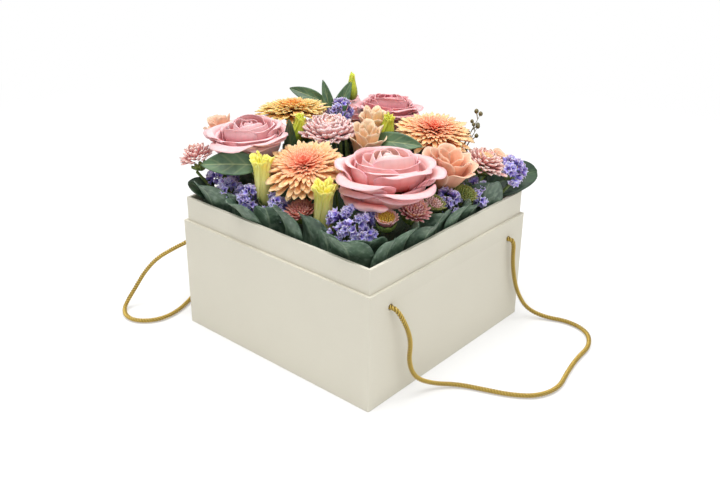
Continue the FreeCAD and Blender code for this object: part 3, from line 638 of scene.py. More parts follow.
class SheetPile:
    """Collects sheets and turns them into one mesh of closed shells."""

    VALUES = ("along", "across", "row", "shade")

    def __init__(self) -> None:
        """Start empty."""
        self.points: list[Array] = []
        self.faces: list[Array] = []
        self.slots: list[Array] = []
        self.values: dict[str, list[Array]] = {name: [] for name in self.VALUES}
        self.finishes: list[Finish] = []
        self.count = 0

    def add(self, sheet: Sheet) -> None:
        """Give a sheet its thickness and add it.

        Args:
            sheet: a grid with rows from foot to lip and columns across.
        """
        grid = sheet.points
        rows, columns, _ = grid.shape
        step = rows * columns
        normal = np.cross(np.gradient(grid, axis=0), np.gradient(grid, axis=1))
        normal /= np.linalg.norm(normal, axis=2, keepdims=True) + 1e-15
        half = normal * (sheet.thickness / 2)
        front = np.arange(step).reshape(rows, columns) + self.count
        back = front + step
        rim = np.concatenate([front[:-1, 0], front[-1, :-1], front[:0:-1, -1], front[0, :0:-1]])
        ahead = np.roll(rim, -1)
        quads = (
            (front[:-1, :-1], front[1:, :-1], front[1:, 1:], front[:-1, 1:]),
            (back[:-1, :-1], back[:-1, 1:], back[1:, 1:], back[1:, :-1]),
            (ahead, rim, rim + step, ahead + step),
        )
        faces = np.concatenate([np.stack(corners, axis=-1).reshape(-1, 4) for corners in quads])
        if sheet.finish not in self.finishes:
            self.finishes.append(sheet.finish)
        self.points += [(grid + half).reshape(-1, 3), (grid - half).reshape(-1, 3)]
        self.faces.append(faces)
        self.slots.append(np.full(len(faces), self.finishes.index(sheet.finish)))
        along, across = grid_shares(rows, columns)
        flat = (along.ravel(), across.ravel(), np.full(step, sheet.row), np.full(step, sheet.shade))
        for name, value in zip(self.VALUES, flat):
            self.values[name] += [value, value]
        self.count += 2 * step

    def build(self, name: str) -> bpy.types.Object:
        """Make the object.

        Args:
            name: the piece's name.

        Returns:
            A mesh object in the box's frame.
        """
        points = np.concatenate(self.points)
        faces = np.concatenate(self.faces)
        mesh = bpy.data.meshes.new(name)
        mesh.vertices.add(len(points))
        mesh.vertices.foreach_set("co", points.astype(np.float32).ravel())
        mesh.loops.add(faces.size)
        mesh.loops.foreach_set("vertex_index", faces.astype(np.int32).ravel())
        mesh.polygons.add(len(faces))
        mesh.polygons.foreach_set("loop_start", np.arange(0, faces.size, 4, dtype=np.int32))
        for finish in self.finishes:
            mesh.materials.append(finish.material())
        mesh.polygons.foreach_set("material_index", np.concatenate(self.slots).astype(np.int32))
        mesh.update(calc_edges=True)
        mesh.polygons.foreach_set("use_smooth", np.ones(len(faces), dtype=bool))
        for key, parts in self.values.items():
            layer = mesh.attributes.new(key, "FLOAT", "POINT")
            layer.data.foreach_set("value", np.concatenate(parts).astype(np.float32))
        mesh.validate()
        made = bpy.data.objects.new(name, mesh)
        bpy.context.scene.collection.objects.link(made)
        return made


def smooth(value: Array, low: float, high: float) -> Array:
    """Smooth step from 0 at low to 1 at high."""
    share = np.clip((value - low) / (high - low), 0, 1)
    return share * share * (3 - 2 * share)


def jitter(rng: np.random.Generator, spread: float) -> float:
    """A random number about 0, within half the spread to each side."""
    return spread * (rng.random() - 0.5)


def bezier(points: Sequence[tuple[float, float]], share: Array) -> tuple[Array, Array]:
    """A cubic curve in a plane.

    Args:
        points: its four control points.
        share: how far along, from 0 to 1.

    Returns:
        The two coordinates, in the shape of share.
    """
    rest = 1 - share
    weights = (rest**3, 3 * rest**2 * share, 3 * rest * share**2, share**3)
    return tuple(sum(w * p[axis] for w, p in zip(weights, points)) for axis in (0, 1))


def grid_shares(rows: int, columns: int) -> tuple[Array, Array]:
    """Shares along (0 to 1) and across (-1 to 1) for a grid."""
    return np.meshgrid(np.linspace(0, 1, rows), np.linspace(-1, 1, columns), indexing="ij")


def turned_about_z(points: Array, angle: float) -> Array:
    """Points turned about Z by an angle in radians."""
    cosine, sine = math.cos(angle), math.sin(angle)
    return points @ np.array([[cosine, sine, 0], [-sine, cosine, 0], [0, 0, 1]])


def tipped_out(points: Array, angle: float, height: float) -> Array:
    """Points about +X tipped outwards.

    Args:
        points: a grid of points.
        angle: how far, in radians.
        height: height of the level line that they turn about, which crosses the axis.

    Returns:
        The tipped points.
    """
    out, up = points[..., 0], points[..., 2] - height
    x = out * math.cos(angle) + up * math.sin(angle)
    z = height + up * math.cos(angle) - out * math.sin(angle)
    return np.stack([x, points[..., 1], z], axis=-1)


@dataclass(frozen=True)
class CupPetal:
    """A petal that wraps round the flower's axis, such as a rose's.

    profile is its middle line as four points of radius and height, half_span how far it wraps to each side
    in radians, round_off how much lower its corners are, roll how far its lip turns out, point how far the
    middle of the lip stands out, wave its ruffle and waves how many there are, foot_span the share of its
    wrap at the foot, and lap how much further out one side is than its middle.
    """

    profile: tuple[tuple[float, float], ...]
    half_span: float
    round_off: float = 0.25
    roll: float = 0.0
    point: float = 0.0
    wave: float = 0.0
    waves: float = 5.0
    foot_span: float = 0.55
    lap: float = 0.0
    rows: int = 16
    columns: int = 15

    def grid(self, phase: float) -> Array:
        """Its points about +X.

        Args:
            phase: where the ruffle starts.

        Returns:
            A grid of points.
        """
        along, across = grid_shares(self.rows, self.columns)
        reach = along * (1 - self.round_off * np.abs(across) ** 2.6 * smooth(along, 0.2, 1.0))
        radius, height = bezier(self.profile, reach)
        lip = smooth(reach, 0.7, 1.0)
        tip = np.exp(-((across / 0.3) ** 2))
        roll = self.roll * lip**2 * (0.75 + 0.25 * np.abs(across))
        radius = radius + roll + self.point * tip * lip + self.lap * across
        height = height - 0.8 * self.roll * lip**3 + 0.6 * self.point * tip * lip
        swing = self.waves * across * math.pi + phase
        ruffle = np.sin(swing) + 0.5 * np.sin(2.3 * self.waves * across + 2 * phase)
        radius = radius + self.wave * ruffle * smooth(reach, 0.45, 1.0)
        height = height + 0.6 * self.wave * np.cos(swing) * smooth(reach, 0.5, 1.0)
        span = self.half_span * (self.foot_span + (1 - self.foot_span) * smooth(reach, 0.0, 0.6))
        angle = across * span
        return np.stack([radius * np.cos(angle), radius * np.sin(angle), height], axis=-1)


@dataclass(frozen=True)
class StrapPetal:
    """A narrow petal that stands out from the flower's axis, such as a daisy's.

    lift is its first angle over the horizon and bend how much that angle grows to its tip, both in radians;
    cup raises its edges, foot_width is the share of its width at the foot, notch splits its tip, and point
    is how far along it starts to narrow.
    """

    root: float
    height: float
    length: float
    width: float
    lift: float
    bend: float
    cup: float = 0.35
    foot_width: float = 0.45
    notch: float = 0.0
    point: float = 0.55
    rows: int = 9
    columns: int = 5

    def grid(self) -> Array:
        """Its points about +X.

        Returns:
            A grid of points.
        """
        along, across = grid_shares(self.rows, self.columns)
        heading = self.lift + self.bend * np.linspace(0, 1, self.rows)
        pace = self.length / (self.rows - 1)
        outward = np.concatenate([[0], np.cumsum(np.cos(heading[:-1]) * pace)])
        upward = np.concatenate([[0], np.cumsum(np.sin(heading[:-1]) * pace)])
        swell = self.foot_width + (1 - self.foot_width) * smooth(along, 0.0, 0.6)
        narrow = np.clip(along - self.point, 0, 1) / (1 - self.point)
        tip = np.sqrt(np.clip(1 - narrow**2.4, 0.02, 1))
        side = across * self.width / 2 * swell * tip
        raised = self.cup * self.width / 2 * np.abs(across) ** 2 * swell
        cut = self.notch * self.length * (1 - np.abs(across)) * smooth(along, 0.85, 1.0)
        level, steep = np.cos(heading)[:, None], np.sin(heading)[:, None]
        x = self.root + outward[:, None] - raised * steep - cut * level
        z = self.height + upward[:, None] + raised * level - cut * steep
        return np.stack([x, side, z], axis=-1)


def peg(radius: float, length: float, lift: float, root: float, height: float) -> Array:
    """A small round-ended floret that stands out from the axis about +X.

    Args:
        radius: its half thickness.
        length: its length.
        lift: its angle over the horizon.
        root: its foot's distance from the axis.
        height: its foot's height.

    Returns:
        A grid of points that closes round itself.
    """
    along, across = grid_shares(5, 7)
    girth = radius * (0.55 + 0.45 * smooth(along, 0.0, 0.6)) * np.sqrt(np.clip(1 - along**6, 0.03, 1))
    angle = across * math.pi
    side = girth * np.cos(angle)
    deep = girth * np.sin(angle)
    reach = along * length
    x = root + reach * math.cos(lift) - deep * math.sin(lift)
    z = height + reach * math.sin(lift) + deep * math.cos(lift)
    return np.stack([x, side, z], axis=-1)


def rod(start: Array, end: Array, radius: float) -> Array:
    """A thin stalk from point to point.

    Args:
        start: where it begins.
        end: where it ends.
        radius: its half thickness.

    Returns:
        A grid of points that closes round itself.
    """
    way = Vector(end) - Vector(start)
    grid = peg(radius, 1.0, 0.0, 0.0, 0.0) * np.array([way.length, 1.0, 1.0])
    turn = np.array(Vector((1, 0, 0)).rotation_difference(way).to_matrix())
    return grid @ turn.T + np.array(start)


def islands(node: str) -> list[tuple[Array, Array]]:
    """The separate solids of a CAD node.

    Args:
        node: the node's name.

    Returns:
        Lowest and highest corner of each solid.
    """
    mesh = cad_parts[node].data
    points = np.empty(len(mesh.vertices) * 3, np.float32)
    mesh.vertices.foreach_get("co", points)
    points = points.reshape(-1, 3)
    mesh.calc_loop_triangles()
    corners = np.empty(len(mesh.loop_triangles) * 3, np.int32)
    mesh.loop_triangles.foreach_get("vertices", corners)
    _, weld = np.unique(np.round(points / WELD).astype(np.int64), axis=0, return_inverse=True)
    faces = weld.ravel()[corners].reshape(-1, 3)
    label = np.arange(faces.max() + 1)
    while True:
        least = label[faces].min(axis=1)
        fresh = label.copy()
        for column in range(3):
            np.minimum.at(fresh, faces[:, column], least)
        fresh = fresh[fresh]
        if (fresh == label).all():
            break
        label = fresh
    owner = label[weld.ravel()]
    solids = [points[owner == one] for one in np.unique(owner)]
    return [(solid.min(axis=0), solid.max(axis=0)) for solid in solids]


@dataclass
class Bloom:
    """One flower head of the arrangement, in millimetres and degrees.

    node is the CAD node that it stands for, and near the place of its solid where the node has several. lean
    and toward say how far the head tips and which way, grow scales it, and shift moves it from the middle of
    its solid.
    """

    node: str
    diameter: float
    height: float
    lean: float
    toward: float
    finish: PetalFinish
    seed: int
    near: tuple[float, float] | None = None
    grow: float = 1.0
    shift: tuple[float, float, float] = (0, 0, 0)

    def sheets(self, rng: np.random.Generator) -> Iterator[Sheet]:
        """Its petals about +Z, with its foot at the origin, in units of metres."""
        raise NotImplementedError

    @property
    def across(self) -> float:
        """Diameter in metres."""
        return self.diameter * self.grow * MM

    @property
    def tall(self) -> float:
        """Height in metres."""
        return self.height * self.grow * MM

    def axis(self) -> Vector:
        """Unit vector from the stem to the face of the flower."""
        lean, toward = math.radians(self.lean), math.radians(self.toward)
        return Vector((math.sin(lean) * math.cos(toward), math.sin(lean) * math.sin(toward), math.cos(lean)))

    def centre(self) -> Vector:
        """The middle of the CAD solid that it stands for.

        Returns:
            A point in the box's frame.
        """
        boxes = islands(self.node) if self.near else [tuple(np.array(c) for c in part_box(self.node))]
        middles = [(low + high) / 2 for low, high in boxes]
        if self.near:
            aim = np.array(self.near) * MM
            middles.sort(key=lambda spot: float(np.linalg.norm(spot[:2] - aim)))
        return Vector([float(value) for value in middles[0]])

    def placed(self) -> Iterator[Sheet]:
        """Its sheets in the box's frame.

        Yields:
            One sheet for each piece of the head.
        """
        axis = self.axis()
        foot = self.centre() + Vector(self.shift) * MM - axis * (self.tall / 2)
        turn = np.array(Vector((0, 0, 1)).rotation_difference(axis).to_matrix())
        for sheet in self.sheets(np.random.default_rng(self.seed)):
            sheet.points = sheet.points @ turn.T + np.array(foot)
            yield sheet

    @staticmethod
    def sepals(count: int, length: float, width: float, rng: np.random.Generator) -> Iterator[Sheet]:
        """Green sepals under the head.

        Args:
            count: how many.
            length: each one's length.
            width: each one's width.
            rng: source of the small differences.

        Yields:
            One sheet for each.
        """
        for number in range(count):
            lift = 0.5 + 0.2 * rng.random()
            petal = StrapPetal(
                0.8 * MM, 0.3 * MM, length, width, lift, 0.5, cup=0.6, foot_width=0.8, point=0.2
            )
            angle = math.tau * number / count + 0.2 * rng.random()
            yield Sheet(turned_about_z(petal.grid(), angle), Paint.CALYX, shade=rng.random())

    @staticmethod
    def green_cup(petal: StrapPetal, count: int, step: float, rng: np.random.Generator) -> Iterator[Sheet]:
        """A ring of green scales under the head.

        Args:
            petal: the form of each.
            count: how many.
            step: angle from one to the next, in radians.
            rng: source of the small differences.

        Yields:
            One sheet for each.
        """
        for number in range(count):
            yield Sheet(turned_about_z(petal.grid(), number * step), Paint.CALYX, shade=rng.random())


@dataclass(frozen=True)
class Whorl:
    """One ring of a rose's petals, in shares of the head's diameter and height; half_span is in radians."""

    count: int
    belly: float
    lip: float
    top: float
    half_span: float
    roll: float
    point: float
    round_off: float


ROSE_WHORLS = (
    Whorl(2, 0.06, 0.012, 0.9, 2.6, 0.0, 0.0, 0.1),
    Whorl(3, 0.11, 0.035, 0.95, 1.7, 0.0, 0.0, 0.12),
    Whorl(3, 0.17, 0.1, 1.0, 1.35, 0.014, 0.0, 0.2),
    Whorl(3, 0.225, 0.18, 1.02, 1.2, 0.03, 0.0, 0.24),
    Whorl(4, 0.265, 0.25, 0.98, 1.05, 0.05, 0.004, 0.26),
    Whorl(4, 0.295, 0.33, 0.86, 1.0, 0.065, 0.012, 0.28),
    Whorl(5, 0.315, 0.41, 0.73, 0.92, 0.07, 0.022, 0.3),
    Whorl(5, 0.32, 0.46, 0.61, 0.86, 0.06, 0.03, 0.32),
    Whorl(5, 0.3, 0.4, 0.38, 0.8, 0.06, 0.03, 0.32),
)


@dataclass
class Rose(Bloom):
    """An open rose.

    opening below 1 holds its petals closer to the heart, cup is how deep its closed base is below the open
    petals, and hanging lists the directions in which an outer petal hangs down.
    """

    opening: float = 1.0
    cup: float = 2.0
    hanging: tuple[float, ...] = ()
    base_petals: int = 5

    def sheets(self, rng: np.random.Generator) -> Iterator[Sheet]:
        """Petals from the heart outwards, then the base.

        Args:
            rng: source of the small differences.

        Yields:
            One sheet for each piece of the head.
        """
        wide, tall = self.across, self.tall
        start = rng.random() * math.tau
        for level, whorl in enumerate(ROSE_WHORLS):
            row = level / (len(ROSE_WHORLS) - 1)
            start += GOLDEN_ANGLE
            for number in range(whorl.count):
                size = 1 + jitter(rng, 0.2) * min(1.0, 0.4 + row)
                belly = whorl.belly * wide * (0.97 + 0.06 * number / whorl.count)
                lip = belly + (whorl.lip * wide - belly) * (1 + jitter(rng, 0.8)) * self.opening
                top = whorl.top * tall * size
                foot = (0.045 * wide, (0.16 - 0.12 * row) * tall)
                profile = (
                    foot,
                    (belly * 1.3, foot[1] + 0.06 * top),
                    (belly * (1.1 + 0.05 * row), 0.7 * top),
                    (lip, top),
                )
                petal = CupPetal(
                    profile,
                    whorl.half_span * (1 + jitter(rng, 0.1)),
                    whorl.round_off,
                    roll=whorl.roll * wide * (0.8 + 0.5 * rng.random()),
                    point=whorl.point * wide,
                    wave=0.01 * wide * row,
                    waves=1.6,
                    lap=0.014 * wide,
                    rows=18,
                    columns=17,
                )
                angle = start + math.tau * number / whorl.count + jitter(rng, 0.25)
                grid = tipped_out(petal.grid(rng.random() * ANY_PHASE), jitter(rng, 0.3) * row, foot[1])
                yield Sheet(turned_about_z(grid, angle), self.finish, row=row, shade=rng.random())
        yield from self.base(rng)

    def base(self, rng: np.random.Generator) -> Iterator[Sheet]:
        """The petals that close the head down to its stalk, those that hang, and the sepals.

        Args:
            rng: source of the small differences.

        Yields:
            One sheet for each piece of the head.
        """
        wide, deep = self.across, self.cup * MM
        bowl = (
            (0.03 * wide, -deep),
            (0.24 * wide, -deep),
            (0.33 * wide, -0.4 * deep),
            (0.36 * wide, 0.3 * self.tall),
        )
        closed = CupPetal(bowl, 0.85, 0.2, lap=0.014 * wide)
        shares = ((0.2, -0.05), (0.4, 0.03), (0.45, 0.01), (0.4, -0.055))
        fall = tuple((out * wide, up * wide) for out, up in shares)
        loose = CupPetal(fall, 0.42, 0.3, wave=0.012 * wide, waves=1.6)
        petals = [(closed, math.tau * number / self.base_petals) for number in range(self.base_petals)]
        petals += [(loose, math.radians(toward)) for toward in self.hanging]
        for petal, angle in petals:
            grid = turned_about_z(petal.grid(rng.random() * math.tau), angle)
            yield Sheet(grid, self.finish, row=0.8, shade=rng.random())
        for sheet in self.sepals(5, 0.3 * wide, 0.1 * wide, rng):
            sheet.points[..., 2] -= deep
            yield sheet


@dataclass(frozen=True)
class RayRow:
    """One row of strap petals, in shares of the head's diameter and height; angles are in radians."""

    count: int
    root: float
    reach: float
    height: float
    width: float
    lift: float
    bend: float
    notch: float = 0.0


GERBERA_ROWS = (
    RayRow(28, 0.1, 0.5, 0.46, 0.084, 0.06, -0.3, 0.05),
    RayRow(28, 0.1, 0.49, 0.52, 0.08, 0.16, -0.3, 0.05),
    RayRow(36, 0.1, 0.44, 0.57, 0.05, 0.26, -0.3, 0.03),
    RayRow(42, 0.1, 0.385, 0.6, 0.038, 0.34, -0.3),
    RayRow(48, 0.1, 0.33, 0.62, 0.032, 0.42, -0.3),
    RayRow(50, 0.09, 0.28, 0.635, 0.027, 0.5, -0.3),
    RayRow(48, 0.07, 0.225, 0.645, 0.024, 0.62, -0.3),
    RayRow(40, 0.05, 0.17, 0.65, 0.022, 0.78, -0.3),
    RayRow(28, 0.03, 0.115, 0.65, 0.02, 0.98, -0.3),
    RayRow(16, 0.01, 0.06, 0.65, 0.02, 1.2, -0.2),
)


@dataclass
class Gerbera(Bloom):
    """A double gerbera: broad outer rays, then narrower and steeper ones to the eye."""

    scales: int = 14

    def sheets(self, rng: np.random.Generator) -> Iterator[Sheet]:
        """Rows of rays from the outside in, then the green cup.

        Args:
            rng: source of the small differences.

        Yields:
            One sheet for each piece of the head.
        """
        wide, tall = self.across, self.tall
        for level, ray in enumerate(GERBERA_ROWS):
            row = 1 - level / (len(GERBERA_ROWS) - 1)
            for number in range(ray.count):
                reach = (ray.reach - ray.root) * wide * (1 + jitter(rng, 0.14))
                length = min(reach / math.cos(ray.lift + ray.bend / 2), 0.5 * wide)
                petal = StrapPetal(
                    ray.root * wide,
                    ray.height * tall - 0.1 * tall * row,
                    length,
                    ray.width * wide * (0.9 + 0.2 * rng.random()),
                    ray.lift + jitter(rng, 0.24),
                    ray.bend + jitter(rng, 0.4),
                    cup=0.3,
                    foot_width=0.4,
                    notch=ray.notch,
                    point=0.78,
                )
                angle = math.tau * (number + 0.5 * (level % 2) + jitter(rng, 0.25)) / ray.count
                yield Sheet(turned_about_z(petal.grid(), angle), self.finish, row=row, shade=rng.random())
        scale = StrapPetal(
            1.5 * MM, 0.02 * tall, 0.24 * wide, 0.09 * wide, 0.55, 0.5, cup=0.4, foot_width=0.9, point=0.3
        )
        yield from self.green_cup(scale, self.scales, math.tau / self.scales, rng)


@dataclass
class Mum(Bloom):
    """A chrysanthemum: spoon petals in a spiral from a steep middle to a flat rim.

    eye_share is how much of the way out the eye takes up, and curl how far the petals near it bend inwards.
    """

    petals: int = 130
    eye: PetalFinish | None = None
    eye_share: float = 0.0
    curl: float = 0.7
    florets: int = 56

    def sheets(self, rng: np.random.Generator) -> Iterator[Sheet]:
        """Petals from the middle to the rim, then the eye and the green cup.

        Args:
            rng: source of the small differences.

        Yields:
            One sheet for each piece of the head.
        """
        wide, tall = self.across, self.tall
        for number in range(self.petals):
            out = math.sqrt((number + 0.5) / self.petals)
            if out < self.eye_share:
                continue
            lift = 1.45 - 1.35 * out**1.2 + jitter(rng, 0.36)
            petal = StrapPetal(
                0.26 * wide * out,
                tall * (0.62 - 0.3 * out**2),
                wide * (0.14 + 0.12 * out) * (0.8 + 0.4 * rng.random()),
                wide * (0.075 + 0.045 * out),
                lift,
                self.curl * (1 - 0.6 * out) + jitter(rng, 0.4),
                cup=0.6,
                foot_width=0.6,
                point=0.62,
            )
            grid = turned_about_z(petal.grid(), number * GOLDEN_ANGLE)
            yield Sheet(grid, self.finish, row=out, shade=rng.random())
        if self.eye:
            yield from self.eye_florets(rng)
        scale = StrapPetal(
            1.2 * MM, 0.02 * tall, 0.3 * wide, 0.14 * wide, 0.45, 0.6, cup=0.5, foot_width=0.9, point=0.3
        )
        yield from self.green_cup(scale, 10, 0.628, rng)

    def eye_florets(self, rng: np.random.Generator) -> Iterator[Sheet]:
        """Round-ended florets packed over the eye.

        Args:
            rng: source of the small differences.

        Yields:
            One sheet for each floret.
        """
        wide, tall = self.across, self.tall
        reach = self.eye_share * 0.36 * wide
        for number in range(self.florets):
            out = math.sqrt((number + 0.5) / self.florets)
            lift = 1.5 - 0.7 * out
            grid = peg(0.028 * wide, 0.11 * wide, lift, reach * out, tall * (0.66 - 0.08 * out**2))
            grid = turned_about_z(grid, number * GOLDEN_ANGLE)
            yield Sheet(grid, self.eye, STALK_SHEET, row=out, shade=rng.random())


@dataclass
class Button(Bloom):
    """A button chrysanthemum: a green scaly cup, short upright petals and a packed eye.

    open_share is how far the outer petals lean out, up to 1.
    """

    eye: PetalFinish = Paint.EYE
    open_share: float = 1.0
    scales: int = 9
    rays: int = 18
    florets: int = 44

    def sheets(self, rng: np.random.Generator) -> Iterator[Sheet]:
        """Scales of the cup, the petals and the eye.

        Args:
            rng: source of the small differences.

        Yields:
            One sheet for each piece of the head.
        """
        wide, tall = self.across, self.tall
        shares = ((0.08, 0.0), (0.4, 0.02), (0.46, 0.3), (0.42, 0.55))
        profile = tuple((out * wide, up * tall) for out, up in shares)
        scale = CupPetal(profile, 0.5, 0.4, roll=0.01 * wide, rows=8, columns=6).grid(0.0)
        for level in range(3):
            spread = 1 + 0.04 * level
            grid = scale * np.array([spread, spread, 0.7 + 0.15 * level])
            for number in range(self.scales):
                angle = math.tau * (number + 0.5 * level) / self.scales
                yield Sheet(turned_about_z(grid, angle), Paint.CALYX, shade=rng.random())
        for level in range(3):
            root = (0.26 + 0.04 * level) * wide
            for number in range(self.rays):
                lift = 1.15 - 0.25 * level * self.open_share + 0.15 * rng.random()
                petal = StrapPetal(
                    root, 0.45 * tall, 0.5 * tall, 0.13 * wide, lift, -0.25,
                    cup=0.4, foot_width=0.8, point=0.7,
                )
                angle = math.tau * (number + 0.5 * level + 0.3 * rng.random()) / self.rays
                grid = turned_about_z(petal.grid(), angle)
                yield Sheet(grid, self.finish, row=level / 2, shade=rng.random())
        for number in range(self.florets):
            out = math.sqrt((number + 0.5) / self.florets)
            lift = 1.5 - 0.5 * out
            grid = peg(0.045 * wide, 0.3 * tall, lift, 0.3 * wide * out, tall * (0.66 - 0.06 * out))
            yield Sheet(turned_about_z(grid, number * GOLDEN_ANGLE), self.eye, STALK_SHEET, out, rng.random())


@dataclass
class Lisianthus(Bloom):
    """A lisianthus: three rings of broad ruffled petals over a funnel."""

    def sheets(self, rng: np.random.Generator) -> Iterator[Sheet]:
        """Rings of petals from the inside out, then the sepals.

        Args:
            rng: source of the small differences.

        Yields:
            One sheet for each piece of the head.
        """
        wide, tall = self.across, self.tall
        rings = (
            (4, 0.16, 0.2, 0.98, 1.1, 0.0),
            (5, 0.25, 0.33, 1.0, 0.85, 0.5),
            (5, 0.32, 0.46, 0.86, 0.78, 1.0),
        )
        start = rng.random() * ANY_PHASE
        for count, belly, lip, top, span, row in rings:
            start += GOLDEN_ANGLE
            for number in range(count):
                profile = (
                    (0.05 * wide, 0.03 * tall),
                    (belly * wide * 0.9, 0.12 * tall),
                    (belly * wide * 1.15, 0.62 * top * tall),
                    (lip * wide, top * tall * (1 + jitter(rng, 0.08))),
                )
                petal = CupPetal(
                    profile,
                    span,
                    0.26,
                    roll=0.07 * wide * (0.4 + row),
                    point=0.02 * wide,
                    wave=0.022 * wide,
                    waves=2.2,
                    lap=0.02 * wide,
                )
                angle = start + math.tau * number / count + jitter(rng, 0.3)
                grid = turned_about_z(petal.grid(rng.random() * ANY_PHASE), angle)
                yield Sheet(grid, self.finish, row=0.3 + 0.7 * row, shade=rng.random())
        yield from self.sepals(5, 0.5 * tall, 0.08 * wide, rng)


@dataclass
class Bud(Bloom):
    """A furled bud: petals rolled into a tube with a frilled mouth, which closed draws in to a tip."""

    closed: float = 0.0

    def sheets(self, rng: np.random.Generator) -> Iterator[Sheet]:
        """Rolled petals, then the sepals.

        Args:
            rng: source of the small differences.

        Yields:
            One sheet for each piece of the head.
        """
        wide, tall = self.across, self.tall
        loose = 1 - self.closed
        rings = ((3, 0.55, 0.14, 1.0), (4, 0.8, 0.34, 0.97), (5, 1.0, 0.5, 0.92))
        for level, (count, swell, flare, top) in enumerate(rings):
            for number in range(count):
                profile = (
                    (0.14 * wide, 0.02 * tall),
                    (0.84 * wide * swell, 0.12 * tall),
                    (0.18 * wide * swell, 0.66 * tall),
                    (flare * wide * loose, tall * top * (0.94 + 0.1 * rng.random())),
                )
                petal = CupPetal(
                    profile,
                    0.95,
                    0.14,
                    roll=0.12 * wide * loose,
                    point=0.14 * wide * loose,
                    wave=0.06 * wide * loose,
                    waves=3.2,
                    foot_span=0.9,
                    lap=0.04 * wide,
                    rows=18,
                    columns=19,
                )
                grid = petal.grid(rng.random() * ANY_PHASE)
                twist = grid[..., 2] / tall * 0.8
                x = grid[..., 0] * np.cos(twist) - grid[..., 1] * np.sin(twist)
                y = grid[..., 0] * np.sin(twist) + grid[..., 1] * np.cos(twist)
                grid = np.stack([x, y, grid[..., 2]], axis=-1)
                angle = math.tau * (number + 0.5 * level) / count
                row = 0.5 + 0.25 * level
                yield Sheet(turned_about_z(grid, angle), self.finish, row=row, shade=rng.random())
        yield from self.sepals(4, 0.3 * tall, 0.2 * wide, rng)


@dataclass
class Statice(Bloom):
    """A statice sprig: papery funnels on a branching head."""

    florets: int = 54
    clumps: int = 7

    def sheets(self, rng: np.random.Generator) -> Iterator[Sheet]:
        """Funnels in clumps over a loose dome, and the clumps' green stalks.

        Args:
            rng: source of the small differences.

        Yields:
            One sheet for each piece of the head.
        """
        wide, tall = self.across, self.tall
        middle = np.array([0, 0, 0.4 * tall])
        for clump in range(self.clumps):
            polar = math.acos(1 - 1.35 * (clump + 0.5) / self.clumps)
            angle = clump * GOLDEN_ANGLE + 0.5 * rng.random()
            flat = math.sin(polar)
            way = np.array([flat * math.cos(angle), flat * math.sin(angle), math.cos(polar)])
            dome = np.array([0.3 * wide, 0.3 * wide, 0.36 * tall])
            heart = middle + way * dome * (0.85 + 0.35 * rng.random())
            yield Sheet(rod(middle * 0.4, heart, 0.6 * MM), Paint.CALYX, STALK_SHEET, shade=rng.random())
            for _ in range(self.florets // self.clumps):
                out = way + rng.normal(0, 0.75, 3)
                out /= np.linalg.norm(out)
                spot = heart + out * 0.11 * wide * (0.5 + 0.8 * rng.random())
                turn = np.array(Vector((0, 0, 1)).rotation_difference(Vector(out)).to_matrix())
                grid = self.funnel(rng) @ turn.T + spot
                yield Sheet(grid, self.finish, FUNNEL_SHEET, shade=rng.random())

    @staticmethod
    def funnel(rng: np.random.Generator) -> Array:
        """One papery funnel with a ruffled rim.

        Args:
            rng: source of the small differences.

        Returns:
            A grid of points about +Z.
        """
        along, across = grid_shares(5, 16)
        phase = rng.random() * ANY_PHASE
        rim = smooth(along, 0.45, 1.0)
        bell = (0.6 + 2.2 * along**1.4) * MM * (0.75 + 0.45 * rng.random())
        bell = bell * (1 + 0.3 * np.cos(5 * math.pi * across + phase) * rim)
        deep = along * 3.8 * MM + 0.7 * MM * np.sin(10 * math.pi * across + phase) * rim
        angle = math.pi * across
        return np.stack([bell * np.cos(angle), bell * np.sin(angle), deep], axis=-1)


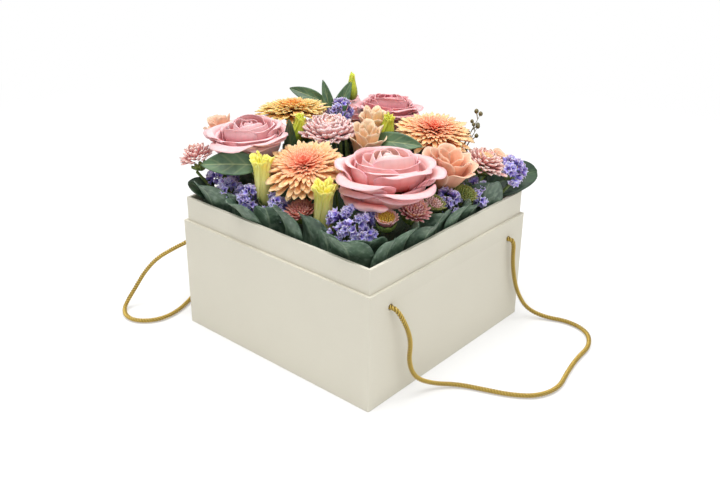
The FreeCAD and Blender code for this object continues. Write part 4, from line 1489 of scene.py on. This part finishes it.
BLOOMS: tuple[Bloom, ...] = (
    Rose("rose_front", 82, 33, 3, 130, Paint.PALE_ROSE, 3, shift=(0, 0, 3), cup=9, hanging=(-112, -72)),
    Rose("rose_left", 70, 24, 5, 215, Paint.DUSTY_ROSE, 11, shift=(4, 5, 1), opening=0.9, cup=11),
    Rose("rose_back", 58, 25, 4, 100, Paint.DEEP_ROSE, 23, shift=(2, 2, -3), opening=0.9, cup=7),
    Rose("rose_rear", 60, 36, 16, 135, Paint.DUSTY_ROSE, 37, opening=0.9),
    Gerbera("gerbera_front", 62, 22, 20, -70, Paint.GERBERA, 5, grow=1.06, shift=(3.5, 3, 0)),
    Gerbera("gerbera_right", 62, 22, 7, -20, Paint.GERBERA, 6, grow=1.08),
    Gerbera("gerbera_top", 62, 22, 9, 150, Paint.GOLD_GERBERA, 7, grow=1.06, shift=(0, 0, -3)),
    Gerbera("gerbera_rear", 62, 22, 14, 90, Paint.GERBERA, 8),
    Mum("mum_centre", 46, 24, 6, -60, Paint.MAUVE_MUM, 41, grow=1.06, petals=170),
    Mum(
        "mum_right", 36, 24, 18, 20, Paint.PINK_MUM, 42, grow=1.06, petals=100, eye=Paint.ORANGE_EYE,
        eye_share=0.34, curl=0.2,
    ),
    Mum("mum_left", 24, 24, 20, 215, Paint.PINK_MUM, 43, grow=1.25, petals=70, curl=0.6, shift=(3, 2, 3)),
    Mum(
        "mum_rear", 36, 24, 24, 175, Paint.PINK_MUM, 44, petals=90, eye=Paint.ORANGE_EYE,
        eye_share=0.4, curl=0.2,
    ),
    Button(
        "button_mums", 18, 15, 16, -45, Paint.ROSY_MUM, 51, (69, -54), grow=0.9, shift=(4, 3, 2),
        open_share=0.2,
    ),
    Button(
        "button_mums", 18, 15, 26, -15, Paint.ROSY_MUM, 52, (83, -25), grow=1.1, shift=(-3, -3, 3),
        eye=Paint.ROSY_MUM,
    ),
    Button("button_mums", 18, 15, 20, -80, Paint.CORAL_MUM, 53, (6, -71), eye=Paint.CORAL_MUM),
    Button("button_mums", 18, 15, 22, 0, Paint.GREEN_MUM, 54, (80, -5), eye=Paint.PINK_MUM, open_share=0.2),
    Button(
        "button_mums", 18, 15, 22, 0, Paint.GREEN_MUM, 55, (84, 31), eye=Paint.GREEN_MUM,
        open_share=0.2,
    ),
    Lisianthus(
        "lisianthus_centre", 21, 30, 8, -40, Paint.CREAM_LISIANTHUS, 61, grow=1.4,
        shift=(-1, -2, -4),
    ),
    Lisianthus("lisianthus_right", 36, 30, 16, 0, Paint.LISIANTHUS, 62, grow=1.15),
    Lisianthus("lisianthus_left", 21, 30, 18, 190, Paint.LISIANTHUS, 63, grow=1.25, shift=(-5, -4, -3)),
    Lisianthus("lisianthus_top", 21, 30, 5, 40, Paint.CREAM_LISIANTHUS, 64, grow=1.2),
    Lisianthus("lisianthus_rear", 36, 30, 20, 60, Paint.LISIANTHUS, 65, grow=0.85, shift=(0, 2, -12)),
    Bud("lisianthus_buds", 11, 36, 4, 250, Paint.BUD, 71, (-43, -66), grow=1.25, shift=(12.5, -8, 8)),
    Bud("lisianthus_buds", 11, 38, 7, -40, Paint.BUD, 72, (27, -69), grow=1.3, shift=(2, -1, 0)),
    Bud("lisianthus_buds", 13, 22, 12, 0, Paint.GREEN_BUD, 73, (9, 27), closed=0.5),
    Bud(
        "lisianthus_buds", 11, 22, 12, 20, Paint.GREEN_BUD, 74, (-52, -24), grow=1.1,
        shift=(6, 5, 7), closed=0.5,
    ),
    Bud(
        "lisianthus_buds", 9, 22, 4, 120, Paint.GREEN_BUD, 75, (-58, 50), grow=1.1, shift=(5, 4, 3),
        closed=0.7,
    ),
    Statice(
        "statice_front", 32, 23, 22, -40, Paint.STATICE, 81, grow=1.25, shift=(5, 4, -3),
        florets=140, clumps=12,
    ),
    Statice("statice_left", 23, 23, 14, 225, Paint.STATICE, 82, (-80, -73), grow=1.15),
    Statice("statice_left", 17, 23, 12, 250, Paint.STATICE, 83, (-62, -83), grow=1.1, florets=48),
    Statice("statice_left", 17, 23, 10, 270, Paint.STATICE, 84, (-40, -83), grow=1.1, florets=48),
    Statice("statice_middle", 17, 23, 12, 270, Paint.STATICE, 85, grow=1.15, florets=48),
    Statice("statice_right", 23, 23, 20, 40, Paint.STATICE, 86, (97, 84), grow=1.1, shift=(-4, -3, 1)),
    Statice("statice_right", 17, 23, 16, 0, Paint.STATICE, 87, (81, 13), grow=1.1, florets=48),
    Statice("statice_right", 17, 23, 16, 0, Paint.STATICE, 88, (83, 48), grow=1.1, florets=48),
    Statice("statice_top", 17, 23, 4, 120, Paint.STATICE, 89, grow=1.1, florets=48),
    Statice("statice_rear", 23, 23, 16, 100, Paint.STATICE, 90),
)


class LeafForm(Enum):
    """Outline of a leaf: how near its middle it is widest, up to 1, and how sharp its ends are."""

    ROUND = (0.8, 0.45)
    LANCE = (0.9, 0.75)
    OVAL = (0.75, 0.55)


@dataclass
class Leaf:
    """One leaf, in millimetres and degrees; foot and stalk_end are points of the box's frame in metres."""

    node: str
    foot: Vector
    heading: float
    lean: float
    length: float
    width: float
    bend: float
    form: LeafForm
    finish: LeafFinish
    stalk_end: Vector
    seed: int
    roll: float = 0.0
    stalk: float = 0.8

    def sheets(self) -> Iterator[Sheet]:
        """The blade and its stalk.

        Yields:
            A sheet for each.
        """
        rng = np.random.default_rng(self.seed)
        along, across = grid_shares(20, 11)
        length, width, bend = self.length * MM, self.width * MM, self.bend * MM
        foot_power, tip_power = self.form.value
        outline = np.maximum(np.sin(math.pi * along**foot_power) ** tip_power, 0.03)
        side = across * width / 2 * outline
        turn = along * length / bend
        fold = 0.16 * width * np.abs(across) ** 1.5 * outline
        ripple = 0.02 * width * np.sin(9 * along + 6 * rng.random() + 2 * across) * np.abs(across)
        out = bend * (1 - np.cos(turn)) - (fold + ripple) * np.cos(turn)
        up = bend * np.sin(turn) + (fold + ripple) * np.sin(turn)
        local = np.stack([side, -out, up], axis=-1)
        matrix = Matrix.Identity(3)
        for angle, axis in ((self.heading + 90, "Z"), (self.lean, "X"), (self.roll, "Z")):
            matrix = matrix @ Matrix.Rotation(math.radians(angle), 3, axis)
        blade = local @ np.array(matrix).T + np.array(self.foot)
        yield Sheet(blade, self.finish, LEAF_SHEET, shade=rng.random())
        stalk = rod(self.foot, self.stalk_end, self.stalk * MM)
        yield Sheet(stalk, Paint.STEM, STALK_SHEET, shade=rng.random())


@dataclass(frozen=True)
class LoosePlace:
    """One leaf among the flowers: its foot, with its rise over the rim, how it is turned, and its size."""

    x: float
    y: float
    rise: float
    heading: float
    lean: float
    roll: float
    length: float
    width: float


@dataclass
class Foliage:
    """The leaves: rows just inside the rim, and slender and broad ones among the flowers. Millimetres."""

    rim_length: float = 33
    rim_width: float = 29
    rim_bend: float = 40
    pitch: float = 20.5
    set_in: float = 4
    layer: float = 3
    below_rim: float = 16
    stalk: float = 34
    corner_set_in: float = 20
    stalk_floor: float = 70
    rim_seed: int = 200
    loose_seed: int = 300
    sides: tuple[tuple[str, float, tuple[int, ...]], ...] = (
        ("eucalyptus_front", -90, tuple(range(-4, 4))),
        ("eucalyptus_right", 0, tuple(range(-4, 3))),
        ("eucalyptus_back", 90, tuple(range(-3, 4))),
        ("eucalyptus_left", 180, (-4, -3, -2, -1, 0, 2)),
    )
    slender: tuple[LoosePlace, ...] = (
        LoosePlace(-37, -68, 34, 236, 80, -50, 48, 20),
        LoosePlace(-43, -32, 18, -50, -4, 0, 46, 10),
        LoosePlace(2, 12, 43, 4, 78, 50, 48, 16),
        LoosePlace(-73, 44, 52, 214, 68, -60, 36, 12),
        LoosePlace(-60, 40, 30, 220, 12, -80, 46, 10),
        LoosePlace(-61, 32, 30, 40, 22, 80, 50, 13),
    )
    broad: tuple[LoosePlace, ...] = (
        LoosePlace(76, 78, 3, 40, 62, 50, 46, 30),
        LoosePlace(-84, -82, 0, 222, 50, -30, 22, 20),
    )
    inner: float = field(init=False)
    rim: float = field(init=False)

    def __post_init__(self) -> None:
        """Read the opening and the rim from the frame."""
        self.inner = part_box("neck_right")[0].x / MM
        self.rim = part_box("neck_right")[1].z / MM

    def rim_leaf(self, node: str, heading: float, x: float, y: float, seed: int) -> Leaf:
        """A leaf just inside the rim.

        Args:
            node: the CAD node that it belongs to.
            heading: which way it faces, in degrees.
            x: place of its foot.
            y: place of its foot.
            seed: what its small differences come from.

        Returns:
            The leaf.
        """
        foot = Vector((x, y, self.rim - self.below_rim))
        way = (Vector((-x, -y, 0)).normalized() - Vector((0, 0, 1))).normalized()
        end = foot + way * self.stalk
        rng = np.random.default_rng(seed)
        size = 0.8 + 0.45 * rng.random()
        heading, lean = heading + jitter(rng, 80), 4 - 22 * rng.random()
        return Leaf(
            node, foot * MM, heading, lean, self.rim_length * size, self.rim_width * size, self.rim_bend,
            LeafForm.ROUND, Paint.EUCALYPTUS, end * MM, seed,
        )

    def rim_leaves(self) -> Iterator[Leaf]:
        """Every leaf along the four edges, and the one in the corner.

        Yields:
            Each leaf.
        """
        seed = self.rim_seed
        for node, heading, numbers in self.sides:
            for number in numbers:
                seed += 1
                reach = self.inner - self.set_in - (number % 2) * self.layer
                along = (number + 0.5) * self.pitch
                turn = math.radians(heading)
                x = reach * math.cos(turn) - along * math.sin(turn)
                y = reach * math.sin(turn) + along * math.cos(turn)
                yield self.rim_leaf(node, heading, x, y, seed)
        corner = self.inner - self.corner_set_in
        yield self.rim_leaf("eucalyptus_front", -45, corner, -corner, self.rim_seed - 1)

    def loose(self) -> Iterator[Leaf]:
        """Slender and broad leaves among the flowers.

        Yields:
            Each leaf.
        """
        sorts = (
            ("slender_leaves", self.slender, 120, LeafForm.LANCE, Paint.SLENDER),
            ("broad_leaves", self.broad, 60, LeafForm.OVAL, Paint.BROAD),
        )
        for node, places, bend, form, finish in sorts:
            for seed, at in enumerate(places, start=self.loose_seed):
                foot = Vector((at.x, at.y, self.rim + at.rise))
                end = foot + (STEMS_MEET - foot).normalized() * (foot.z - self.stalk_floor)
                yield Leaf(
                    node, foot * MM, at.heading, at.lean, at.length, at.width, bend, form, finish, end * MM,
                    seed, at.roll,
                )

    def build(self) -> list[bpy.types.Object]:
        """One piece for each node of leaves."""
        leaves = (*self.rim_leaves(), *self.loose())
        return pile_up(((leaf.node, sheet) for leaf in leaves for sheet in leaf.sheets()), "blades")


@dataclass
class Twigs:
    """Berry twigs: a stem with short side stalks, each with a round berry. Millimetres."""

    nodes: tuple[str, ...] = ("berry_twig_inner", "berry_twig_outer")
    berry: float = 1.8
    stem: float = 0.7
    side_stalk: float = 0.45
    bare_below: float = 26
    stalks: int = 5
    first_seed: int = 400

    @staticmethod
    def ball(spot: Vector, radius: float) -> Array:
        """A berry: a ball a little longer than wide with a small crown.

        Args:
            spot: its middle, in metres.
            radius: its half width, in metres.

        Returns:
            A grid of points.
        """
        along, across = grid_shares(9, 13)
        polar = along * math.pi
        girth = radius * np.sin(np.clip(polar, 0.06, math.pi - 0.06))
        height = -radius * 1.1 * np.cos(polar) + 0.15 * radius * smooth(along, 0.92, 1.0)
        angle = across * math.pi
        points = np.stack([girth * np.cos(angle), girth * np.sin(angle), height], axis=-1)
        return points + np.array(spot)

    def sheets(self, node: str, seed: int) -> Iterator[Sheet]:
        """The stem of one twig, its side stalks and its berries.

        Args:
            node: the CAD node that it stands for.
            seed: what its small differences come from.

        Yields:
            One sheet for each.
        """
        rng = np.random.default_rng(seed)
        low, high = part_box(node)
        tip = Vector([value - self.berry * MM for value in high])
        down = (STEMS_MEET * MM - tip).normalized()
        yield Sheet(rod(tip + down * (tip.z - low.z), tip, self.stem * MM), Paint.TWIG, STALK_SHEET)
        yield Sheet(self.ball(tip, self.berry * MM), Paint.BERRY, STALK_SHEET, shade=rng.random())
        for number in range(1, self.stalks + 1):
            start = tip + down * (self.bare_below * MM * number / self.stalks)
            angle = number * GOLDEN_ANGLE
            side = Vector((math.cos(angle), math.sin(angle), 0.9))
            end = start + side * (4.0 + 3.0 * rng.random()) * MM
            yield Sheet(rod(start, end, self.side_stalk * MM), Paint.TWIG, STALK_SHEET)
            radius = self.berry * (0.8 + 0.25 * rng.random()) * MM
            yield Sheet(self.ball(end, radius), Paint.BERRY, STALK_SHEET, shade=rng.random())

    def build(self) -> list[bpy.types.Object]:
        """One piece for each twig."""
        twigs = enumerate(self.nodes, start=self.first_seed)
        return pile_up(((node, one) for seed, node in twigs for one in self.sheets(node, seed)), "berries")


def on_arrangement(piece: bpy.types.Object, node: str) -> bpy.types.Object:
    """Let a piece ride on the arrangement in place of its node.

    Args:
        piece: the piece.
        node: the CAD node that it stands for, which is hidden.

    Returns:
        The piece.
    """
    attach(piece, "arrangement")
    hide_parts(node)
    return piece


def pile_up(sheets: Iterator[tuple[str, Sheet]], ending: str) -> list[bpy.types.Object]:
    """Turn sheets into one piece for each node.

    Args:
        sheets: each sheet after the CAD node that it belongs to.
        ending: last word of the pieces' names.

    Returns:
        The pieces, which ride on the arrangement.
    """
    piles: dict[str, SheetPile] = {}
    for node, sheet in sheets:
        piles.setdefault(node, SheetPile()).add(sheet)
    return [on_arrangement(pile.build(f"{node}_{ending}"), node) for node, pile in piles.items()]


@dataclass
class Bouquet:
    """All the flower heads."""

    blooms: tuple[Bloom, ...] = BLOOMS

    def build(self) -> list[bpy.types.Object]:
        """One piece for each node of heads."""
        return pile_up(((bloom.node, sheet) for bloom in self.blooms for sheet in bloom.placed()), "petals")


class Side(Enum):
    """Which wall a handle is on, and the sign of X there."""

    RIGHT = 1
    LEFT = -1


# Free route of each handle's rope in millimetres: distance out from the wall, place along the wall, and
# clear height under the rope.
ROUTES = {
    Side.RIGHT: (
        (10.5, -71, 62), (11.5, -66.5, 47), (10.5, -67.5, 31), (12, -61, 14), (17, -44, 2.5), (30, -29, 0.3),
        (50, -21, 0.3), (68, -14, 0.3), (84, -2, 0.3), (90.5, 18, 0.3), (84.5, 41, 0.3), (80, 65, 0.3),
        (79, 88, 0.3), (67, 108, 0.3), (46, 113, 0.3), (26, 105, 0.3), (12.5, 97, 7), (7, 89, 23),
        (5.5, 82, 42), (5, 78.5, 60),
    ),
    Side.LEFT: (
        (15, -83, 64), (28, -92, 55), (42, -100, 44), (52, -107, 30), (58, -113, 16), (60, -121, 5.5),
        (56, -129, 0.6), (46, -135, 0.3), (34, -135, 0.3), (24, -128, 0.3), (18, -117, 0.3), (18, -102, 0.3),
        (24, -85, 0.3), (34, -66, 0.3), (41, -44, 0.3), (42, -20, 0.3), (39, 4, 0.3), (32, 28, 0.3),
        (22, 50, 0.3), (12, 67, 6), (6.5, 75, 23), (5.5, 77.5, 42), (5, 78, 60),
    ),
}


@dataclass
class RopeHandle:
    """A twisted rope from hole to hole, held by a knot inside the neck at each end. Millimetres.

    strand_wind and strand_half are a strand's distance from the rope's middle and its half thickness, as
    shares of the diameter. bend_from, bend_to and bend_drop are where the rope would start and finish
    following the handle, outside the wall and below the holes; nothing here bends the rope.
    """

    side: Side
    diameter: float = 4.0
    standoff: float = 5.0
    hole_spacing: float = 154.0
    hole_height: float = 79.0
    strands: int = 3
    lay: float = 7.0
    knot_radius: float = 3.2
    hole_lead: float = 1
    strand_wind: float = 0.235
    strand_half: float = 0.245
    bend_from: float = 1
    bend_to: float = 9
    bend_drop: float = 13
    half_width: float = field(init=False)
    knot_depth: float = field(init=False)

    def __post_init__(self) -> None:
        """Read the wall and the knots from the frame."""
        self.half_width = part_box("wrap_paper")[1].x / MM
        low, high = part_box(f"cord_knots_{self.word}")
        self.knot_depth = min(abs(low.x), abs(high.x)) / MM + self.knot_radius + self.diameter / 2

    @property
    def word(self) -> str:
        """The side's name in the nodes and bodies."""
        return self.side.name.lower()

    def at_hole(self, depth: float, way: int) -> Vector:
        """A point on the line through one hole, this far from the middle of the box."""
        return Vector((self.side.value * depth, way * self.hole_spacing / 2, self.hole_height))

    def route(self) -> list[Vector]:
        """Control points of the rope, from knot to knot through both holes.

        Returns:
            Points in metres.
        """
        inside = self.half_width - self.hole_lead
        outside = self.half_width + self.standoff + self.hole_lead
        free = [
            Vector((self.side.value * (self.half_width + out), along, self.diameter / 2 + clear))
            for out, along, clear in ROUTES[self.side]
        ]
        start = [self.at_hole(depth, -1) for depth in (self.knot_depth, inside, outside)]
        end = [self.at_hole(depth, 1) for depth in (outside, inside, self.knot_depth)]
        return [point * MM for point in (*start, *free, *end)]

    def centreline(self) -> Array:
        """Points read along the smooth spline of the route.

        Returns:
            One row for each point.
        """
        curve = bpy.data.curves.new(f"rope_route_{self.word}", "CURVE")
        curve.dimensions = "3D"
        curve.resolution_u = 32
        spline = curve.splines.new("NURBS")
        points = self.route()
        spline.points.add(len(points) - 1)
        for point, spot in zip(spline.points, points):
            point.co = (*spot, 1)
        spline.order_u = 3
        spline.use_endpoint_u = True
        holder = bpy.data.objects.new(curve.name, curve)
        bpy.context.scene.collection.objects.link(holder)
        bpy.context.view_layer.update()
        mesh = bpy.data.meshes.new_from_object(holder)
        line = np.array([vertex.co[:] for vertex in mesh.vertices])
        bpy.data.objects.remove(holder)
        bpy.data.meshes.remove(mesh)
        return line

    @staticmethod
    def frames(line: Array) -> tuple[Array, Array, Array]:
        """Distance along a line and two directions across it that turn as little as they can.

        Args:
            line: points.

        Returns:
            Distances, first directions and second directions.
        """
        step = np.diff(line, axis=0)
        distance = np.concatenate([[0], np.cumsum(np.linalg.norm(step, axis=1))])
        tangent = np.gradient(line, axis=0)
        tangent /= np.linalg.norm(tangent, axis=1, keepdims=True)
        across = np.empty_like(line)
        level = abs(tangent[0][2]) < 0.9
        guess = np.array([0.0, 0.0, 1.0] if level else [0.0, 1.0, 0.0])
        for index, way in enumerate(tangent):
            guess = guess - way * (guess @ way)
            guess /= np.linalg.norm(guess)
            across[index] = guess
        return distance, across, np.cross(tangent, across)

    def strand_sheets(self, line: Array) -> Iterator[Sheet]:
        """The twisted strands along a line.

        Args:
            line: the rope's centreline.

        Yields:
            One tube for each strand.
        """
        distance, first, second = self.frames(line)
        wind = self.strand_wind * self.diameter * MM
        thick = self.strand_half * self.diameter * MM
        around = np.linspace(-math.pi, math.pi, 11)
        for strand in range(self.strands):
            turn = math.tau * (distance / (self.lay * MM) + strand / self.strands)
            outward = first * np.cos(turn)[:, None] + second * np.sin(turn)[:, None]
            sideways = second * np.cos(turn)[:, None] - first * np.sin(turn)[:, None]
            middle = line + outward * wind
            ring = (
                middle[:, None, :]
                + thick * np.cos(around)[None, :, None] * outward[:, None, :]
                + thick * np.sin(around)[None, :, None] * sideways[:, None, :]
            )
            yield Sheet(ring, Paint.ROPE, STRAND_SHEET)

    def knots(self) -> bpy.types.Object:
        """The knots inside the neck, which hold the rope's ends.

        Returns:
            One piece for both.
        """
        turn = np.linspace(0, math.tau, 90)
        loop = np.stack([
            np.sin(3 * turn) * -0.7,
            (np.sin(turn) + 2 * np.sin(2 * turn)) / 3,
            (np.cos(turn) - 2 * np.cos(2 * turn)) / 3,
        ], axis=-1)
        pile = SheetPile()
        for way in (-1, 1):
            middle = np.array(self.at_hole(self.knot_depth, way)) * MM
            for sheet in self.strand_sheets(loop * self.knot_radius * MM + middle):
                pile.add(sheet)
        made = pile.build(f"rope_knots_{self.word}")
        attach(made, "box")
        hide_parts(f"cord_knots_{self.word}")
        return made

    def build(self) -> bpy.types.Object:
        """The rope from knot to knot through both holes, and its knots.

        Returns:
            The rope's piece.
        """
        line = self.centreline()
        pile = SheetPile()
        for sheet in self.strand_sheets(line):
            pile.add(sheet)
        rope = pile.build(f"rope_{self.word}")
        sign = self.side.value
        sign * (self.half_width + self.bend_from) * MM
        sign * (self.half_width + self.bend_to) * MM
        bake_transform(rope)
        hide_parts(f"handle_cord_{self.word}")
        self.knots()
        return rope


@dataclass
class PaperBox:
    """The box: its CAD papers and the boards, which have paper on the inside too, on a base of bare board."""

    papered: tuple[str, ...] = (
        "wrap_paper", "neck_paper", "wall_front", "wall_back", "wall_left", "wall_right",
        "neck_front", "neck_back", "neck_left", "neck_right",
    )
    bare: str = "base_panel"

    def dress(self) -> None:
        """Give each node its finish."""
        for node in self.papered:
            dress_node(node, Paint.PAPER)
        dress_node(self.bare, Paint.BOARD)


def dress_node(node: str, finish: Finish) -> None:
    """Give a CAD node one finish.

    Args:
        node: the node's name.
        finish: its finish.
    """
    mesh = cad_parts[node].data
    mesh.materials.clear()
    mesh.materials.append(finish.material())


@dataclass
class Insert:
    """What stands in the box under the flowers: liner, foam and stems."""

    stems: tuple[str, ...] = (
        "rose_stems", "gerbera_stems", "mum_stems", "lisianthus_stems", "statice_stems",
    )

    def dress(self) -> None:
        """Give each node its finish."""
        dress_node("liner_tray", Paint.FILM)
        dress_node("foam_block", Paint.FOAM)
        for node in self.stems:
            dress_node(node, Paint.STEM)


@dataclass
class Studio:
    """A pale floor, soft light and the camera, in metres and degrees.

    The floor shows shadows out to shadow_reach and is plain white from white_reach on; floor_glow is how much
    of it is plain white near the object.
    """

    camera_place: tuple[float, float, float] = (0.4526977, -0.5216755, 0.399440)
    azimuth: float = 40.673
    elevation: float = 25.2844
    roll: float = 0.6026
    lens: float = 45.5325
    lamps_aim: tuple[float, float, float] = (0, 0, 0.1)
    floor_size: float = 14.0
    floor_drop: float = 0.3 * MM
    floor_glow: float = 0.3
    shadow_reach: float = 0.35
    white_reach: float = 0.9
    ambient: float = 0.36

    def build(self) -> None:
        """Set the whole stage."""
        self.camera()
        self.floor()
        self.world()
        self.lamps()
        bpy.context.scene.view_settings.view_transform = "Standard"

    def camera(self) -> None:
        """The camera at the photograph's viewing angle."""
        a, e, r = (math.radians(value) for value in (self.azimuth, self.elevation, self.roll))
        back = Vector((math.sin(a) * math.cos(e), -math.cos(a) * math.cos(e), math.sin(e)))
        right = Vector((math.cos(a), math.sin(a), 0))
        up = back.cross(right)
        tilted_right = right * math.cos(r) + up * math.sin(r)
        tilted_up = up * math.cos(r) - right * math.sin(r)
        data = bpy.data.cameras.new("studio_camera")
        data.lens = self.lens
        data.sensor_width = 36.0
        data.clip_start = 0.01
        made = bpy.data.objects.new("studio_camera", data)
        bpy.context.scene.collection.objects.link(made)
        made.matrix_world = Matrix((
            (tilted_right.x, tilted_up.x, back.x, self.camera_place[0]),
            (tilted_right.y, tilted_up.y, back.y, self.camera_place[1]),
            (tilted_right.z, tilted_up.z, back.z, self.camera_place[2]),
            (0, 0, 0, 1),
        ))
        bpy.context.scene.camera = made

    @staticmethod
    def seen(graph: Graph) -> Socket:
        """Whether a ray shows the backdrop, or only lights the object with it.

        Args:
            graph: where the nodes go.

        Returns:
            1 for what is seen directly, in a reflection or through a clear thing, and 0 for the rest.
        """
        kinds = ("Camera", "Glossy", "Transmission")
        rays = [graph.node("ShaderNodeLightPath", output=f"Is {kind} Ray") for kind in kinds]
        return (rays[0] + rays[1] + rays[2]).rise(0.0, 1.0)

    def floor(self) -> None:
        """A white floor that keeps the object's shadow and is plain white far from it."""
        half = self.floor_size / 2
        mesh = bpy.data.meshes.new("studio_floor")
        corners = [(-half, -half, 0), (half, -half, 0), (half, half, 0), (-half, half, 0)]
        mesh.from_pydata(corners, [], [(0, 1, 2, 3)])
        graph = Graph.material("floor_white")
        matte = graph.node("ShaderNodeBsdfDiffuse", inputs={"Color": (0.94, 0.94, 0.94, 1)})
        glow = graph.node("ShaderNodeEmission", inputs={"Color": (1, 1, 1, 1), "Strength": 1.0})
        reach = graph.node("ShaderNodeVectorMath", {"operation": "LENGTH"}, {0: graph.place()}, "Value")
        far = reach.rise(self.shadow_reach, self.white_reach)
        share = self.seen(graph) * (far * (1 - self.floor_glow) + self.floor_glow)
        shader = graph.node("ShaderNodeMixShader", inputs={0: share, 1: matte, 2: glow})
        graph.node("ShaderNodeOutputMaterial", inputs={"Surface": shader})
        mesh.materials.append(graph.holder)
        floor = bpy.data.objects.new("studio_floor", mesh)
        floor.location.z = -self.floor_drop
        bpy.context.scene.collection.objects.link(floor)
        floor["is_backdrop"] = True

    def world(self) -> None:
        """Even white light from all round, and a white backdrop where it is seen."""
        world = bpy.data.worlds.new("studio_world")
        graph = Graph(world)
        dim, white = (
            graph.node("ShaderNodeBackground", inputs={"Color": (1, 1, 1, 1), "Strength": level})
            for level in (self.ambient, 1.0)
        )
        shader = graph.node("ShaderNodeMixShader", inputs={0: self.seen(graph), 1: dim, 2: white})
        graph.node("ShaderNodeOutputWorld", inputs={"Surface": shader})
        bpy.context.scene.world = world

    def lamps(self) -> None:
        """A soft key from the front left, a fill from the right and a wide light overhead."""
        for name, place, power, size in (
            ("key", (-0.5, -1.0, 1.6), 4.5, 1.0),
            ("fill", (1.4, -0.4, 1.1), 6.0, 1.2),
            ("top", (0.0, -0.1, 1.7), 30.0, 1.5),
        ):
            data = bpy.data.lights.new(name, "AREA")
            data.energy = power
            data.size = size
            lamp = bpy.data.objects.new(name, data)
            lamp.location = place
            aim = Vector(self.lamps_aim) - Vector(place)
            lamp.rotation_euler = aim.to_track_quat("-Z", "Y").to_euler()
            bpy.context.scene.collection.objects.link(lamp)


def main() -> None:
    """Build the pieces in order and report each one."""
    logging.basicConfig(level=logging.INFO, format="%(message)s")
    Studio().build()
    PaperBox().dress()
    Insert().dress()
    for side in Side:
        LOG.info("%s", RopeHandle(side).build().name)
    for group in (Bouquet(), Foliage(), Twigs()):
        for piece in group.build():
            LOG.info("%s: %d faces", piece.name, len(piece.data.polygons))
    boxes = {"cad": CAD_BOUNDS, "visual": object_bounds()}
    {key: [list(corner) for corner in box] for key, box in boxes.items()}


if __name__ == "__main__":
    main()
